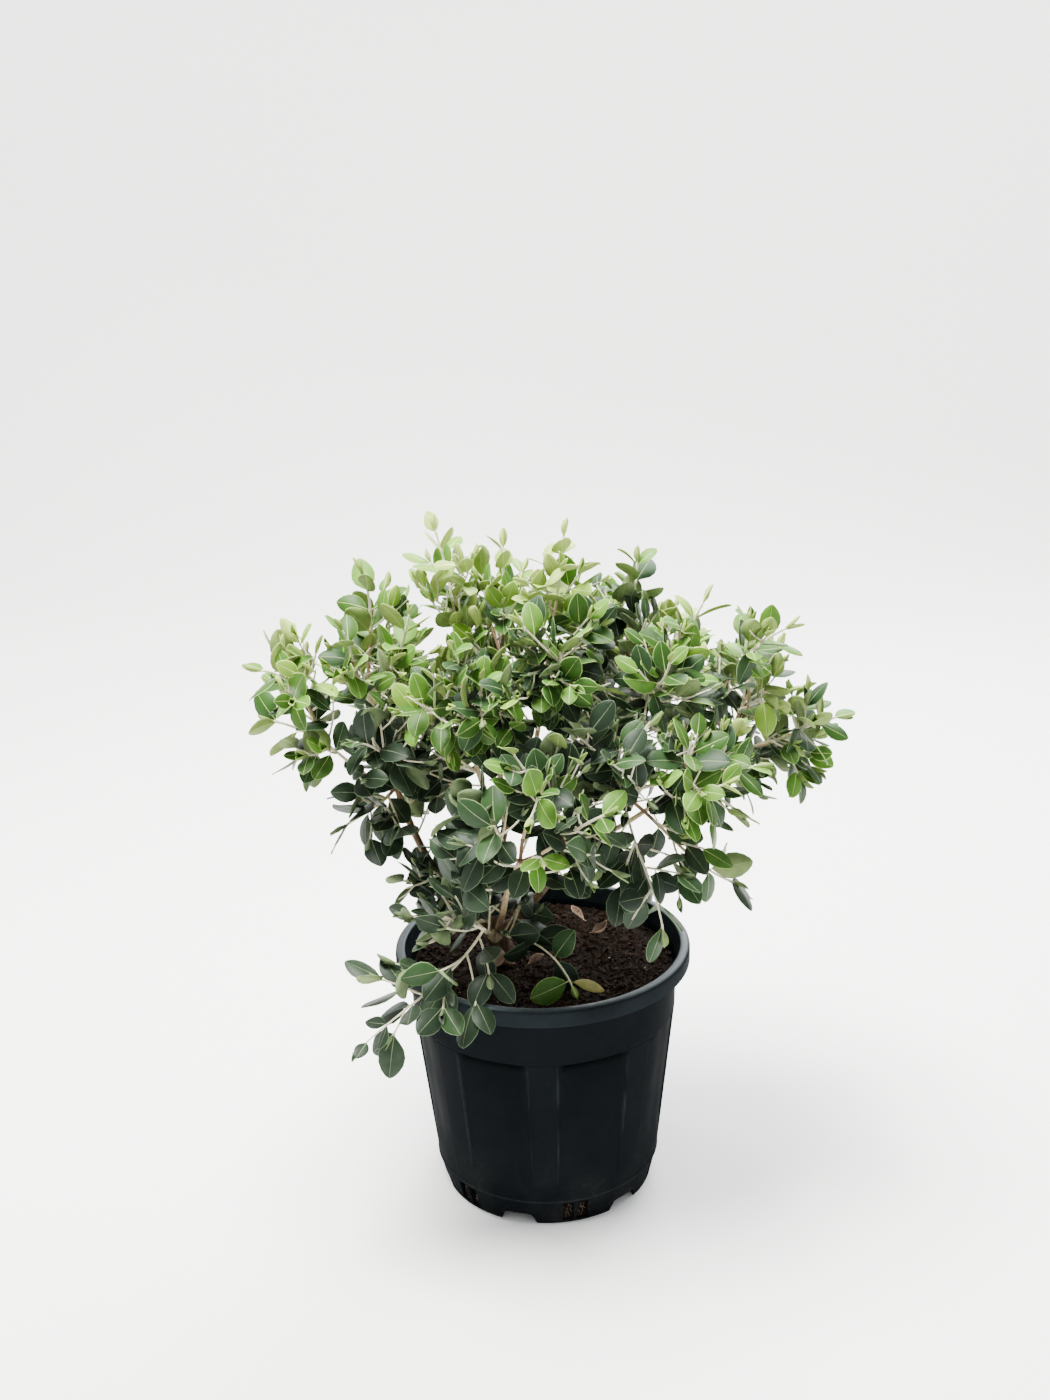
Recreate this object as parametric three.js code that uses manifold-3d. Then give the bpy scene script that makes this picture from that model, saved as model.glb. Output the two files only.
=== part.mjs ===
// A potted pohutukawa: a bushy young shrub, many stems from one low crown, in a black nursery pot.
// The origin is the middle of the pot's underside, +Z is up, and the side seen from the front faces -Y.
import * as THREE from 'three';
import { mergeVertices } from 'three/addons/utils/BufferGeometryUtils.js';
import Module from 'manifold-3d';

const wasm = await Module();
wasm.setup();

// Driving dimensions, in millimetres, and angles in degrees
const GAP = 0.3;

const POT_HEIGHT = 288;
const RIM_RADIUS = 165;
const LIP_HEIGHT = 19;
const BAND_RADIUS = 148;
const BAND_BOTTOM = 215;
const RING_RADIUS = 127.4;
const RING_HEIGHT = 32;
const FOOT_RADIUS = 119.5;
const PAD_RADIUS = 40;
const FLOOR_HEIGHT = 12;
const WALL = 2.5;
const RIB_COUNT = 8;
const RIB_TURN = -1.5;
const RIB_HALF = 6.25;
const RIB_STEP = 2;
const FLUTE_DEPTH = 5;
const FLUTE_BOTTOM = 90;
const STEP_TURN = 0.6;
const NOTCH = { count: 6, turn: -16.5, wide: 42, narrow: 31, height: 11.5, corner: 4 };
const WINDOW = { count: 6, turn: 13.5, width: 9.6, mullion: 2.6, bottom: 5, top: 28 };

const SOIL_TOP = 265;
const SOIL_FLAT = 72;
const SOIL_RISE = { radius: 118, height: 1 };
const SOIL_DIP = { radius: 96, height: -1 };
const SOIL_UNEVEN = 2.5;
const SOIL_SIDES = 20;

const TRUNK = { foot: [-44, 0], head: [-52, -2, 299], flare: 20, waist: 11.5, knuckle: 12.5, lobes: 5 };

const KNUCKLE = 1.6;
const ROOT_ROOM = 1;
const LIMB_SIDES = 5;
const LIMB_STEPS = 4;
const TWIG_SIDES = 3;
const STEM_STEPS = 4;
const SHOOT_STEPS = 1;
const STEM_RADIUS = 2;
const SHOOT_ROOT = 0.6;
const TIP_RADIUS = 1.2;

const LEAF = { length: 46, width: 31, thick: 1.3, sunk: 0.1, apart: 1.5, space: 17.5, twigSpace: 6 };
const PAIRS = { step: 32, bare: 0.36, shootBare: 0.5, tipSpace: 4, turns: [0.1, 1.15], lean: [62, 34] };
const LEAF_OUTLINE = [[0, 0], [0.58, 0.48], [0.96, 0.22], [0.96, -0.22], [0.58, -0.48]];
const REACH = 84;
const SHOOTS = 3;
const SHOOT_LENGTH = 52;
const CLEAR = 1.2;
const SWINGS = [0, 0.5, -0.5, 1, -1];
const FINE = 0.01;
const SEED = 43;

// Main boughs: the limb that each grows from, its tip, the bulge of its middle, its two radii
const BOUGHS = [
  { name: 'bough_left_lower', from: 'trunk', tip: [-155, 10, 474], bulge: [-26, 0, -14], radii: [5.0, 3.9] },
  { name: 'bough_left_upper', from: 'bough_left_lower', tip: [-181, 20, 578], bulge: [-3, 0, 0], radii: [3.6, 2.6] },
  { name: 'bough_left_arm', from: 'bough_left_lower', tip: [-226, -30, 540], bulge: [-6, 0, 4], radii: [2.4, 1.9] },
  { name: 'bough_centre_main', from: 'trunk', tip: [-36, 8, 430], bulge: [-8, 6, 0], radii: [5.4, 4.4] },
  { name: 'bough_centre_left', from: 'bough_centre_main', tip: [-78, -20, 574], bulge: [-8, -4, 0], radii: [3.4, 2.4] },
  { name: 'bough_centre', from: 'bough_centre_main', tip: [-36, 34, 612], bulge: [2, 8, 0], radii: [3.4, 2.4] },
  { name: 'bough_centre_right', from: 'bough_centre_main', tip: [14, 6, 618], bulge: [8, -4, 0], radii: [3.4, 2.4] },
  { name: 'bough_right_main', from: 'trunk', tip: [34, 2, 402], bulge: [8, 0, -10], radii: [5.2, 4.3] },
  { name: 'bough_right_lower', from: 'bough_right_main', tip: [92, -60, 481], bulge: [4, -6, -6], radii: [3.4, 2.7] },
  { name: 'bough_right_front', from: 'bough_right_lower', tip: [158, -90, 514], bulge: [0, 0, -4], radii: [2.4, 1.9] },
  { name: 'bough_right_upper', from: 'bough_right_main', tip: [112, 24, 574], bulge: [12, 6, -10], radii: [3.6, 2.4] },
  { name: 'bough_right_far', from: 'bough_right_main', tip: [212, 34, 508], bulge: [8, 4, -16], radii: [3.4, 2.2] },
  { name: 'bough_front', from: 'trunk', tip: [-20, -150, 450], bulge: [-14, -26, 6], radii: [4.0, 2.8] },
  { name: 'bough_front_left', from: 'trunk', tip: [-62, -98, 350], bulge: [-2, -10, 8], radii: [2.8, 2.1] },
  { name: 'bough_back_left', from: 'trunk', tip: [-116, 122, 496], bulge: [-6, 26, -16], radii: [4.2, 2.7] },
  { name: 'bough_back_right', from: 'bough_right_main', tip: [92, 136, 512], bulge: [2, 18, -14], radii: [3.4, 2.5] },
];

// Masses of foliage: the limb that each grows from, the furthest leaf tip, the way its end points,
// and where it differs from the common ones, its shoots, its reach, its leaves' scale and its age
const MASSES = [
  { name: 'leaves_left_peak', from: 'bough_left_upper', tip: [-187, 40, 720], aim: [-0.35, 0.05, 1], reach: 62 },
  { name: 'leaves_left_crown', from: 'bough_left_upper', tip: [-126, -10, 688], aim: [0.25, -0.1, 1], reach: 70 },
  { name: 'leaves_left_shoulder', from: 'bough_left_upper', tip: [-204, -34, 678], aim: [-0.35, -0.2, 1] },
  { name: 'leaves_left_tip', from: 'bough_left_arm', tip: [-297, -60, 631], aim: [-1, -0.2, 0.12], shoots: 5 },
  { name: 'leaves_left_low', from: 'bough_left_arm', tip: [-298, 4, 556], aim: [-1, 0.2, 0.1] },
  { name: 'leaves_left_dark', from: 'bough_left_lower', tip: [-196, -108, 566], aim: [-0.7, -0.8, 0.3] },
  { name: 'leaves_left_hang', from: 'bough_left_lower', tip: [-221, -40, 441], aim: [-0.9, -0.1, -0.5] },
  { name: 'leaves_left_inner', from: 'bough_left_lower', tip: [-112, 66, 560], aim: [0.5, 0.4, 0.8] },
  { name: 'leaves_top_left', from: 'bough_centre_left', tip: [-107, 40, 767], aim: [-0.3, 0.1, 1], reach: 66, shoots: 4 },
  { name: 'leaves_mid_left', from: 'bough_centre_left', tip: [-129, -124, 622], aim: [-0.5, -0.7, 0.7] },
  { name: 'leaves_mid_front', from: 'bough_centre_left', tip: [-52, -116, 640], aim: [0.1, -0.5, 1] },
  { name: 'leaves_top_middle', from: 'bough_centre', tip: [-30, 40, 746], aim: [0.05, 0.1, 1], reach: 66 },
  { name: 'leaves_top_back', from: 'bough_centre', tip: [-60, 120, 716], aim: [-0.1, 0.5, 1] },
  { name: 'leaves_top_centre', from: 'bough_centre_right', tip: [35, 18, 761], aim: [0.1, 0, 1], shoots: 4, reach: 70 },
  { name: 'leaves_centre_front', from: 'bough_centre_right', tip: [25, -104, 668], aim: [0, -0.5, 1] },
  { name: 'leaves_top_right', from: 'bough_right_upper', tip: [113, 50, 724], aim: [0.05, 0.1, 1], reach: 66 },
  { name: 'leaves_right_crown', from: 'bough_right_upper', tip: [160, 70, 668], aim: [0.3, 0.3, 1] },
  { name: 'leaves_right_shoulder', from: 'bough_right_upper', tip: [186, 4, 688], aim: [0.5, 0, 1] },
  { name: 'leaves_right_face', from: 'bough_right_upper', tip: [136, -104, 652], aim: [0.1, -0.6, 1] },
  { name: 'leaves_right_high', from: 'bough_right_far', tip: [229, 10, 664], aim: [0.1, 0, 1] },
  { name: 'leaves_right_wing', from: 'bough_right_far', tip: [277, -20, 655], aim: [1, -0.2, 0.5], reach: 66 },
  { name: 'leaves_right_mid', from: 'bough_right_far', tip: [282, 66, 592], aim: [1, 0.3, 0.4] },
  { name: 'leaves_right_tip', from: 'bough_right_far', tip: [341, 10, 541], aim: [1, -0.1, 0.15], shoots: 4 },
  { name: 'leaves_right_hang', from: 'bough_right_lower', tip: [125, -150, 353], aim: [0.12, -0.2, -1], reach: 60 },
  { name: 'leaves_right_droop', from: 'bough_right_lower', tip: [217, -88, 387], aim: [1, 0, -0.4] },
  { name: 'leaves_centre_pale', from: 'bough_right_lower', tip: [82, -150, 577], aim: [0, -0.5, 0.6] },
  { name: 'leaves_right_front', from: 'bough_right_front', tip: [233, -120, 534], aim: [1, -0.2, 0.1] },
  { name: 'leaves_right_under', from: 'bough_right_front', tip: [214, -90, 468], aim: [0.8, 0, -0.6] },
  { name: 'leaves_right_flank', from: 'bough_right_front', tip: [150, -164, 590], aim: [0, -0.5, 0.9] },
  { name: 'leaves_front_big', from: 'bough_front', tip: [-48, -212, 512], aim: [-0.2, -1, 0.3] },
  { name: 'leaves_front_lime', from: 'bough_front', tip: [4, -216, 474], aim: [0.2, -1, 0] },
  { name: 'leaves_front_upper', from: 'bough_front', tip: [14, -182, 566], aim: [0.3, -0.3, 1] },
  { name: 'leaves_front_right', from: 'bough_front', tip: [76, -200, 522], aim: [0.9, -0.5, 0.5], reach: 62 },
  { name: 'leaves_sprawl_upper', from: 'bough_front_left', tip: [-153, -112, 379], aim: [-1, -0.1, 0.3], reach: 62 },
  { name: 'leaves_sprawl_lower', from: 'bough_front_left', tip: [-195, -200, 264], aim: [-0.7, -0.6, -0.4] },
  { name: 'leaves_low_left', from: 'trunk', tip: [-128, -62, 408], aim: [-0.6, -0.5, 0.5], reach: 66 },
  { name: 'leaves_soil_sprig', from: 'trunk', tip: [32, -112, 283], aim: [0.3, -0.5, -0.6], reach: 50 },
  { name: 'leaves_back_left', from: 'bough_back_left', tip: [-214, 150, 588], aim: [-0.8, 0.3, 0.6] },
  { name: 'leaves_back_middle', from: 'bough_back_left', tip: [-64, 222, 566], aim: [0.1, 0.8, 0.6] },
  { name: 'leaves_back_right', from: 'bough_back_right', tip: [196, 170, 592], aim: [0.8, 0.4, 0.6] },
  { name: 'leaves_back_top', from: 'bough_back_right', tip: [62, 190, 652], aim: [0, 0.4, 1] },
];

const UP = new THREE.Vector3(0, 0, 1);
const vec = (list) => new THREE.Vector3(...list);
const degrees = THREE.MathUtils.degToRad;
const blend = THREE.MathUtils.lerp;

// A number from 0 to 1 that depends only on which mass, which twig and which draw it is
function chance(mass, twig, draw) {
  let bits = (SEED + Math.imul(mass, 7919) + Math.imul(twig, 104729) + Math.imul(draw, 1299709)) | 0;
  bits = Math.imul(bits ^ (bits >>> 15), 0x2c1b3c6d);
  bits = Math.imul(bits ^ (bits >>> 12), 0x297a2d39);
  return ((bits ^ (bits >>> 15)) >>> 0) / 2 ** 32;
}

// Solids and meshes

function solid(geometry) {
  const bare = geometry.index ? geometry.toNonIndexed() : geometry.clone();
  bare.deleteAttribute('normal');
  bare.deleteAttribute('uv');
  const merged = mergeVertices(bare, 1e-4);
  const mesh = new wasm.Mesh({
    numProp: 3,
    vertProperties: new Float32Array(merged.attributes.position.array),
    triVerts: new Uint32Array(merged.index.array),
  });
  mesh.merge();
  return new wasm.Manifold(mesh);
}

function geometryOf(shape) {
  const mesh = shape.getMesh();
  const geometry = new THREE.BufferGeometry();
  geometry.setAttribute('position', new THREE.BufferAttribute(mesh.vertProperties, 3));
  geometry.setIndex(new THREE.BufferAttribute(mesh.triVerts, 1));
  geometry.computeVertexNormals();
  return geometry;
}

function largestPiece(shape) {
  const pieces = shape.decompose();
  return pieces.reduce((best, piece) => (piece.volume() > best.volume() ? piece : best));
}

const PLASTIC = new THREE.MeshStandardMaterial({ color: 0x14191c, roughness: 0.45, metalness: 0 });
const POTTING_MIX = new THREE.MeshStandardMaterial({ color: 0x3a2218, roughness: 0.95, metalness: 0 });
const BARK = new THREE.MeshStandardMaterial({ color: 0x8a6a50, roughness: 0.85, metalness: 0 });
const FOLIAGE = new THREE.MeshStandardMaterial({ color: 0x5a8a3c, roughness: 0.55, metalness: 0 });

function named(name, shape, material) {
  const mesh = new THREE.Mesh(geometryOf(shape), material);
  mesh.name = name;
  return mesh;
}

// The pot: a turned wall with a rolled lip, eight ribs with shallow V flutes between them,
// drainage notches in the foot and pairs of slots above them

const RIB_PERIOD = 360 / RIB_COUNT;
const RIB_ANGLES = [
  -RIB_HALF, RIB_HALF, RIB_HALF + STEP_TURN, RIB_PERIOD / 2, RIB_PERIOD - RIB_HALF - STEP_TURN,
];

function fluteDepth(fromRib) {
  const away = Math.min(fromRib, RIB_PERIOD - fromRib);
  if (away <= RIB_HALF) return 0;
  return blend(RIB_STEP, FLUTE_DEPTH, (away - RIB_HALF) / (RIB_PERIOD / 2 - RIB_HALF));
}

// Radius of the pot's outside at a height between the ring and the smooth band
const wallRadius = (height) =>
  blend(RING_RADIUS, BAND_RADIUS, (height - RING_HEIGHT) / (BAND_BOTTOM - RING_HEIGHT));

const INNER_RADIUS = wallRadius(BAND_BOTTOM - 6) - FLUTE_DEPTH - WALL - 1;

function potProfile() {
  const lipBottom = POT_HEIGHT - LIP_HEIGHT;
  const floorTop = FLOOR_HEIGHT + WALL;
  return [
    // radius, height, share of the flutes' depth
    [0, 0, 0], [PAD_RADIUS - 2, 0, 0], [PAD_RADIUS + 4, FLOOR_HEIGHT, 0], [FOOT_RADIUS, FLOOR_HEIGHT, 0],
    [FOOT_RADIUS - WALL, 0, 0], [FOOT_RADIUS, 0, 0], [RING_RADIUS, RING_HEIGHT, 0],
    [wallRadius(FLUTE_BOTTOM), FLUTE_BOTTOM, 1],
    [wallRadius(BAND_BOTTOM - 3), BAND_BOTTOM - 3, 1], [BAND_RADIUS, BAND_BOTTOM, 0],
    [BAND_RADIUS + 1.6, lipBottom + 8, 0], [RIM_RADIUS - WALL, lipBottom, 0],
    [RIM_RADIUS, lipBottom, 0], [RIM_RADIUS, POT_HEIGHT - 3, 0], [RIM_RADIUS - 5, POT_HEIGHT, 0],
    [RIM_RADIUS - 11, POT_HEIGHT - 4, 0], [BAND_RADIUS - WALL, BAND_BOTTOM + 3, 0],
    [INNER_RADIUS, BAND_BOTTOM - 6, 0], [FOOT_RADIUS - 0.6, floorTop, 0],
    [PAD_RADIUS + 5, floorTop, 0], [PAD_RADIUS - 1, WALL, 0], [0, WALL, 0],
  ];
}

function potTurned() {
  const profile = potProfile();
  const outline = profile.map(([radius, height]) => new THREE.Vector2(radius, height));
  const columns = [];
  for (let rib = 0; rib < RIB_COUNT; rib++) {
    for (const angle of RIB_ANGLES) {
      columns.push({ turn: degrees(RIB_TURN + rib * RIB_PERIOD + angle), depth: fluteDepth(Math.abs(angle)) });
    }
  }
  const lathe = new THREE.LatheGeometry(outline, columns.length);
  const position = lathe.attributes.position;
  for (let i = 0; i < position.count; i++) {
    const column = columns[Math.floor(i / profile.length) % columns.length];
    const [radius, height, share] = profile[i % profile.length];
    const reach = radius - column.depth * share;
    position.setXYZ(i, reach * Math.sin(column.turn), -reach * Math.cos(column.turn), height);
  }
  return solid(lathe);
}

// A block whose outline stands in the XZ plane, pushed out through the wall and turned to its place
function wallCutter(outline, turn) {
  const block = new THREE.ExtrudeGeometry(new THREE.Shape(outline), { depth: 24, bevelEnabled: false, steps: 1 });
  block.rotateX(Math.PI / 2);
  block.translate(0, -FOOT_RADIUS + 8, 0);
  block.rotateZ(degrees(turn));
  return solid(block);
}

function potCutters() {
  const cutters = [];
  for (let i = 0; i < NOTCH.count; i++) {
    const half = NOTCH.wide / 2;
    const inner = NOTCH.narrow / 2;
    const outline = [
      [-half, -1], [half, -1], [inner + 1, NOTCH.height - NOTCH.corner], [inner - NOTCH.corner, NOTCH.height],
      [NOTCH.corner - inner, NOTCH.height], [-inner - 1, NOTCH.height - NOTCH.corner],
    ].map(([x, z]) => new THREE.Vector2(x, z));
    cutters.push(wallCutter(outline, NOTCH.turn + i * (360 / NOTCH.count)));
  }
  for (let i = 0; i < WINDOW.count; i++) {
    for (const side of [-1, 1]) {
      const near = (side * WINDOW.mullion) / 2;
      const far = near + side * WINDOW.width;
      const outline = [[near, WINDOW.bottom], [far, WINDOW.bottom], [far, WINDOW.top], [near, WINDOW.top]]
        .map(([x, z]) => new THREE.Vector2(x, z));
      cutters.push(wallCutter(outline, WINDOW.turn + i * (360 / WINDOW.count)));
    }
  }
  return wasm.Manifold.union(cutters);
}

const potMesh = () => named('pot', potTurned().subtract(potCutters()), PLASTIC);

// The potting mix: it fills the pot to a little below the lip and is level round the trunk

function soilMesh() {
  const snug = (radius) => radius * Math.cos(Math.PI / 22) - GAP;
  const profile = [
    [0, WALL + GAP], [PAD_RADIUS - 1.5, WALL + GAP], [PAD_RADIUS + 4.5, FLOOR_HEIGHT + WALL + GAP],
    [snug(FOOT_RADIUS - 0.8), FLOOR_HEIGHT + WALL + GAP], [snug(INNER_RADIUS), BAND_BOTTOM - 6],
    [snug(BAND_RADIUS - WALL), BAND_BOTTOM + 4], [snug(BAND_RADIUS - WALL + 4.5), SOIL_TOP - 3],
    [SOIL_RISE.radius, SOIL_TOP + SOIL_RISE.height], [SOIL_DIP.radius, SOIL_TOP + SOIL_DIP.height],
    [SOIL_FLAT, SOIL_TOP], [0, SOIL_TOP],
  ];
  const outline = profile.map(([radius, height]) => new THREE.Vector2(radius, height));
  const lathe = new THREE.LatheGeometry(outline, SOIL_SIDES);
  lathe.rotateX(Math.PI / 2);
  const position = lathe.attributes.position;
  for (let i = 0; i < position.count; i++) {
    const row = i % profile.length;
    const side = Math.floor(i / profile.length) % SOIL_SIDES;
    if ([SOIL_RISE.radius, SOIL_DIP.radius].includes(profile[row][0])) {
      position.setZ(i, position.getZ(i) + SOIL_UNEVEN * (chance(90, row, side) - 0.5));
    }
  }
  return named('soil', solid(lathe), POTTING_MIX);
}

// Limbs: a cylinder bent along a curve, round on a limb and three-sided on a twig

function bent(curve, radiusAt, sides, steps) {
  const tube = new THREE.CylinderGeometry(1, 1, 1, sides, steps);
  const frames = curve.computeFrenetFrames(steps);
  const centres = [];
  for (let step = 0; step <= steps; step++) centres.push(curve.getPointAt(step / steps));
  const position = tube.attributes.position;
  for (let i = 0; i < position.count; i++) {
    const step = Math.round((position.getY(i) + 0.5) * steps);
    const radius = radiusAt(step / steps, Math.atan2(position.getX(i), position.getZ(i)));
    const point = centres[step].clone();
    point.addScaledVector(frames.binormals[step], position.getX(i) * radius);
    point.addScaledVector(frames.normals[step], position.getZ(i) * radius);
    position.setXYZ(i, point.x, point.y, point.z);
  }
  return solid(tube);
}

// A point on the line that a bent cylinder's rings are strung along
function onTwig(twig, along) {
  const step = Math.min(Math.floor(along * twig.steps), twig.steps - 1);
  const near = twig.curve.getPointAt(step / twig.steps);
  return near.lerp(twig.curve.getPointAt((step + 1) / twig.steps), along * twig.steps - step);
}

function knuckle(centre, radius) {
  const ball = new THREE.IcosahedronGeometry(radius, 0);
  ball.translate(centre.x, centre.y, centre.z);
  return solid(ball);
}

// How far a knuckle's corners reach in a direction
function knuckleReach(way, radius) {
  const corners = new THREE.IcosahedronGeometry(radius, 0).attributes.position;
  const corner = new THREE.Vector3();
  let reach = 0;
  for (let i = 0; i < corners.count; i++) reach = Math.max(reach, corner.fromBufferAttribute(corners, i).dot(way));
  return reach;
}

// Roots on one knuckle are pushed apart until each has room, and kept off the limb that carries it
function spreadRoots(roots, carrier) {
  const back = { way: carrier.curve.getTangentAt(1).negate(), radius: 1.1 * carrier.radii[1] };
  for (let round = 0; round < 80; round++) {
    for (const root of roots) {
      for (const other of [...roots, back]) {
        if (other === root) continue;
        const width = root.radius + other.radius + ROOT_ROOM;
        const room = 2 * Math.asin(Math.min(1, width / (2 * carrier.size)));
        const angle = root.way.angleTo(other.way);
        if (angle >= room) continue;
        const push = root.way.clone().addScaledVector(other.way, -Math.cos(angle)).normalize();
        root.way.addScaledVector(push, 0.5 * (room - angle)).normalize();
      }
    }
  }
}

// The curve of a limb or of a mass's stem, from the knuckle that carries it to its end
function growthCurve(centre, size, way, end, endWay) {
  const root = centre.clone().addScaledVector(way, knuckleReach(way, size) + GAP);
  const handle = 0.33 * root.distanceTo(end);
  const leaving = root.clone().addScaledVector(way, handle);
  const arriving = end.clone().addScaledVector(endWay, -handle);
  return new THREE.CubicBezierCurve3(root, leaving, arriving, end);
}

function growTrunk() {
  const head = vec(TRUNK.head);
  const foot = new THREE.Vector3(...TRUNK.foot, SOIL_TOP + GAP);
  const rise = new THREE.Vector3(foot.x, foot.y, foot.z + 12);
  const curve = new THREE.QuadraticBezierCurve3(foot, rise, head);
  const radiusAt = (along, round) => {
    const flare = (1 - along) ** 3;
    const lobe = 1 + 0.2 * flare * Math.cos(TRUNK.lobes * round);
    return blend(TRUNK.waist, TRUNK.flare, flare) * lobe;
  };
  const shape = bent(curve, radiusAt, 15, 4).add(knuckle(head, TRUNK.knuckle));
  return { name: 'trunk', curve, radii: [TRUNK.flare, TRUNK.waist], head, size: TRUNK.knuckle, shape };
}

function growBough(row, carrier, way) {
  const head = vec(row.tip);
  const root = carrier.head.clone().addScaledVector(way, knuckleReach(way, carrier.size) + GAP);
  const handle = 0.3 * root.distanceTo(head);
  const middle = root.clone().add(head).multiplyScalar(0.5).add(vec(row.bulge));
  const arriving = head.clone().sub(middle).normalize().multiplyScalar(-handle).add(head);
  const curve = new THREE.CubicBezierCurve3(root, root.clone().addScaledVector(way, handle), arriving, head);
  const radiusAt = (along) => blend(row.radii[0], row.radii[1], along);
  const size = KNUCKLE * row.radii[1];
  const shape = bent(curve, radiusAt, LIMB_SIDES, LIMB_STEPS).add(knuckle(head, size));
  return { name: row.name, curve, radii: row.radii, head, size, shape };
}

// Everything that grows from one knuckle is aimed and spread together
function rootWays(carrier) {
  const rows = [...BOUGHS, ...MASSES].filter((row) => row.from === carrier.name);
  const roots = rows.map((row) => {
    const target = vec(row.tip);
    if (row.bulge) target.addScaledVector(vec(row.bulge), 2);
    if (row.aim) target.addScaledVector(vec(row.aim).normalize(), -0.45 * target.distanceTo(carrier.head));
    const radius = row.radii ? row.radii[0] : STEM_RADIUS;
    return { name: row.name, radius, way: target.sub(carrier.head).normalize() };
  });
  spreadRoots(roots, carrier);
  return roots;
}

function growLimbs() {
  const limbs = new Map();
  const ways = new Map();
  const keep = (limb) => {
    limbs.set(limb.name, limb);
    for (const root of rootWays(limb)) ways.set(root.name, root.way);
  };
  keep(growTrunk());
  for (const row of BOUGHS) keep(growBough(row, limbs.get(row.from), ways.get(row.name)));
  return { limbs, ways };
}

// Stems of the masses, which also mark the space that each mass keeps to

function growStems(limbs, ways) {
  return MASSES.map((row) => {
    const carrier = limbs.get(row.from);
    const endWay = vec(row.aim).normalize();
    const end = vec(row.tip).addScaledVector(endWay, -0.72 * LEAF.length);
    const curve = growthCurve(carrier.head, carrier.size, ways.get(row.name), end, endWay);
    return { row, curve, reach: row.reach ?? REACH, axis: curve.getSpacedPoints(6) };
  });
}

function pathDistance(point, path) {
  let best = Infinity;
  const line = new THREE.Line3();
  const nearest = new THREE.Vector3();
  for (let i = 0; i + 1 < path.length; i++) {
    line.set(path[i], path[i + 1]).closestPointToPoint(point, true, nearest);
    best = Math.min(best, nearest.distanceTo(point));
  }
  return best;
}

function outsidePot(point) {
  const radius = Math.hypot(point.x, point.y);
  if (point.z > POT_HEIGHT + 2) return true;
  if (radius > RIM_RADIUS + 3) return point.z > 6;
  return radius < BAND_RADIUS - 8 && point.z > SOIL_TOP + 3;
}

// A point is free for a mass if it is in the mass's own space, off every limb and off the pot
function freeFor(index, stems, limbs) {
  return (point, margin) => {
    const own = pathDistance(point, stems[index].axis);
    if (own > stems[index].reach || !outsidePot(point)) return false;
    for (let i = 0; i < stems.length; i++) {
      if (i !== index && pathDistance(point, stems[i].axis) < own + margin) return false;
    }
    for (const limb of limbs.values()) {
      if (pathDistance(point, limb.path) < limb.radii[0] + margin) return false;
    }
    return true;
  };
}

// A leaf: five-cornered in outline with a blunt tip, flat below and thickest at the middle,
// its root inside the twig

function leafPoints(base, way, face, scale) {
  const length = LEAF.length * scale;
  const side = new THREE.Vector3().crossVectors(way, face);
  return LEAF_OUTLINE.map(([along, across]) => base.clone()
    .addScaledVector(way, along * length)
    .addScaledVector(side, across * LEAF.width * scale));
}

function leafSolid(outline, face, scale) {
  const corners = outline.length;
  const cone = new THREE.ConeGeometry(1, 1, corners, 1);
  const position = cone.attributes.position;
  const heart = new THREE.Vector3();
  for (const point of outline) heart.addScaledVector(point, 1 / corners);
  const crown = heart.clone().addScaledVector(face, LEAF.thick * scale);
  for (let i = 0; i < position.count; i++) {
    const [x, y, z] = [position.getX(i), position.getY(i), position.getZ(i)];
    const turn = Math.atan2(x, z) / (2 * Math.PI);
    const onEdge = Math.hypot(x, z) > 0.5;
    const middle = y > 0 ? crown : heart;
    const point = onEdge ? outline[Math.round(turn * corners + corners) % corners] : middle;
    position.setXYZ(i, point.x, point.y, point.z);
  }
  return solid(cone);
}

// The two directions square to a twig: one level, one as near upright as it can be
function acrossTwig(tangent) {
  const level = new THREE.Vector3().crossVectors(UP, tangent);
  if (level.length() < 0.2) level.set(1, 0, 0).addScaledVector(tangent, -tangent.x);
  level.normalize();
  return { level, upright: new THREE.Vector3().crossVectors(tangent, level) };
}

function sideWay(tangent, turn) {
  const { level, upright } = acrossTwig(tangent);
  return level.multiplyScalar(Math.cos(turn)).addScaledVector(upright, Math.sin(turn));
}

// Leaves stand in opposite pairs, each pair turned from the last, and lift their faces to the light
function leafAt(twig, along, node, half, swing, mass, scale) {
  const tangent = twig.curve.getTangentAt(along);
  const turn = PAIRS.turns[node % 2] + 0.5 * (chance(mass, twig.id, node) - 0.5) + half * Math.PI + swing;
  const lean = degrees(blend(...PAIRS.lean, along)) + 0.3 * (chance(mass, twig.id, node + 40) - 0.5);
  const out = sideWay(tangent, turn);
  const way = tangent.clone().multiplyScalar(Math.cos(lean)).addScaledVector(out, Math.sin(lean)).normalize();
  const face = tangent.clone().multiplyScalar(0.7).addScaledVector(UP, 0.8);
  face.addScaledVector(way, -face.dot(way)).normalize();
  const root = onTwig(twig, along + (half ? 1 : -1) * (LEAF.apart / twig.length));
  root.addScaledVector(way, -LEAF.sunk);
  const spine = [0.35, 0.65, 0.95].map((share) => root.clone().addScaledVector(way, share * LEAF.length * scale));
  return { outline: leafPoints(root, way, face, scale), face, scale, spine };
}

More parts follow.
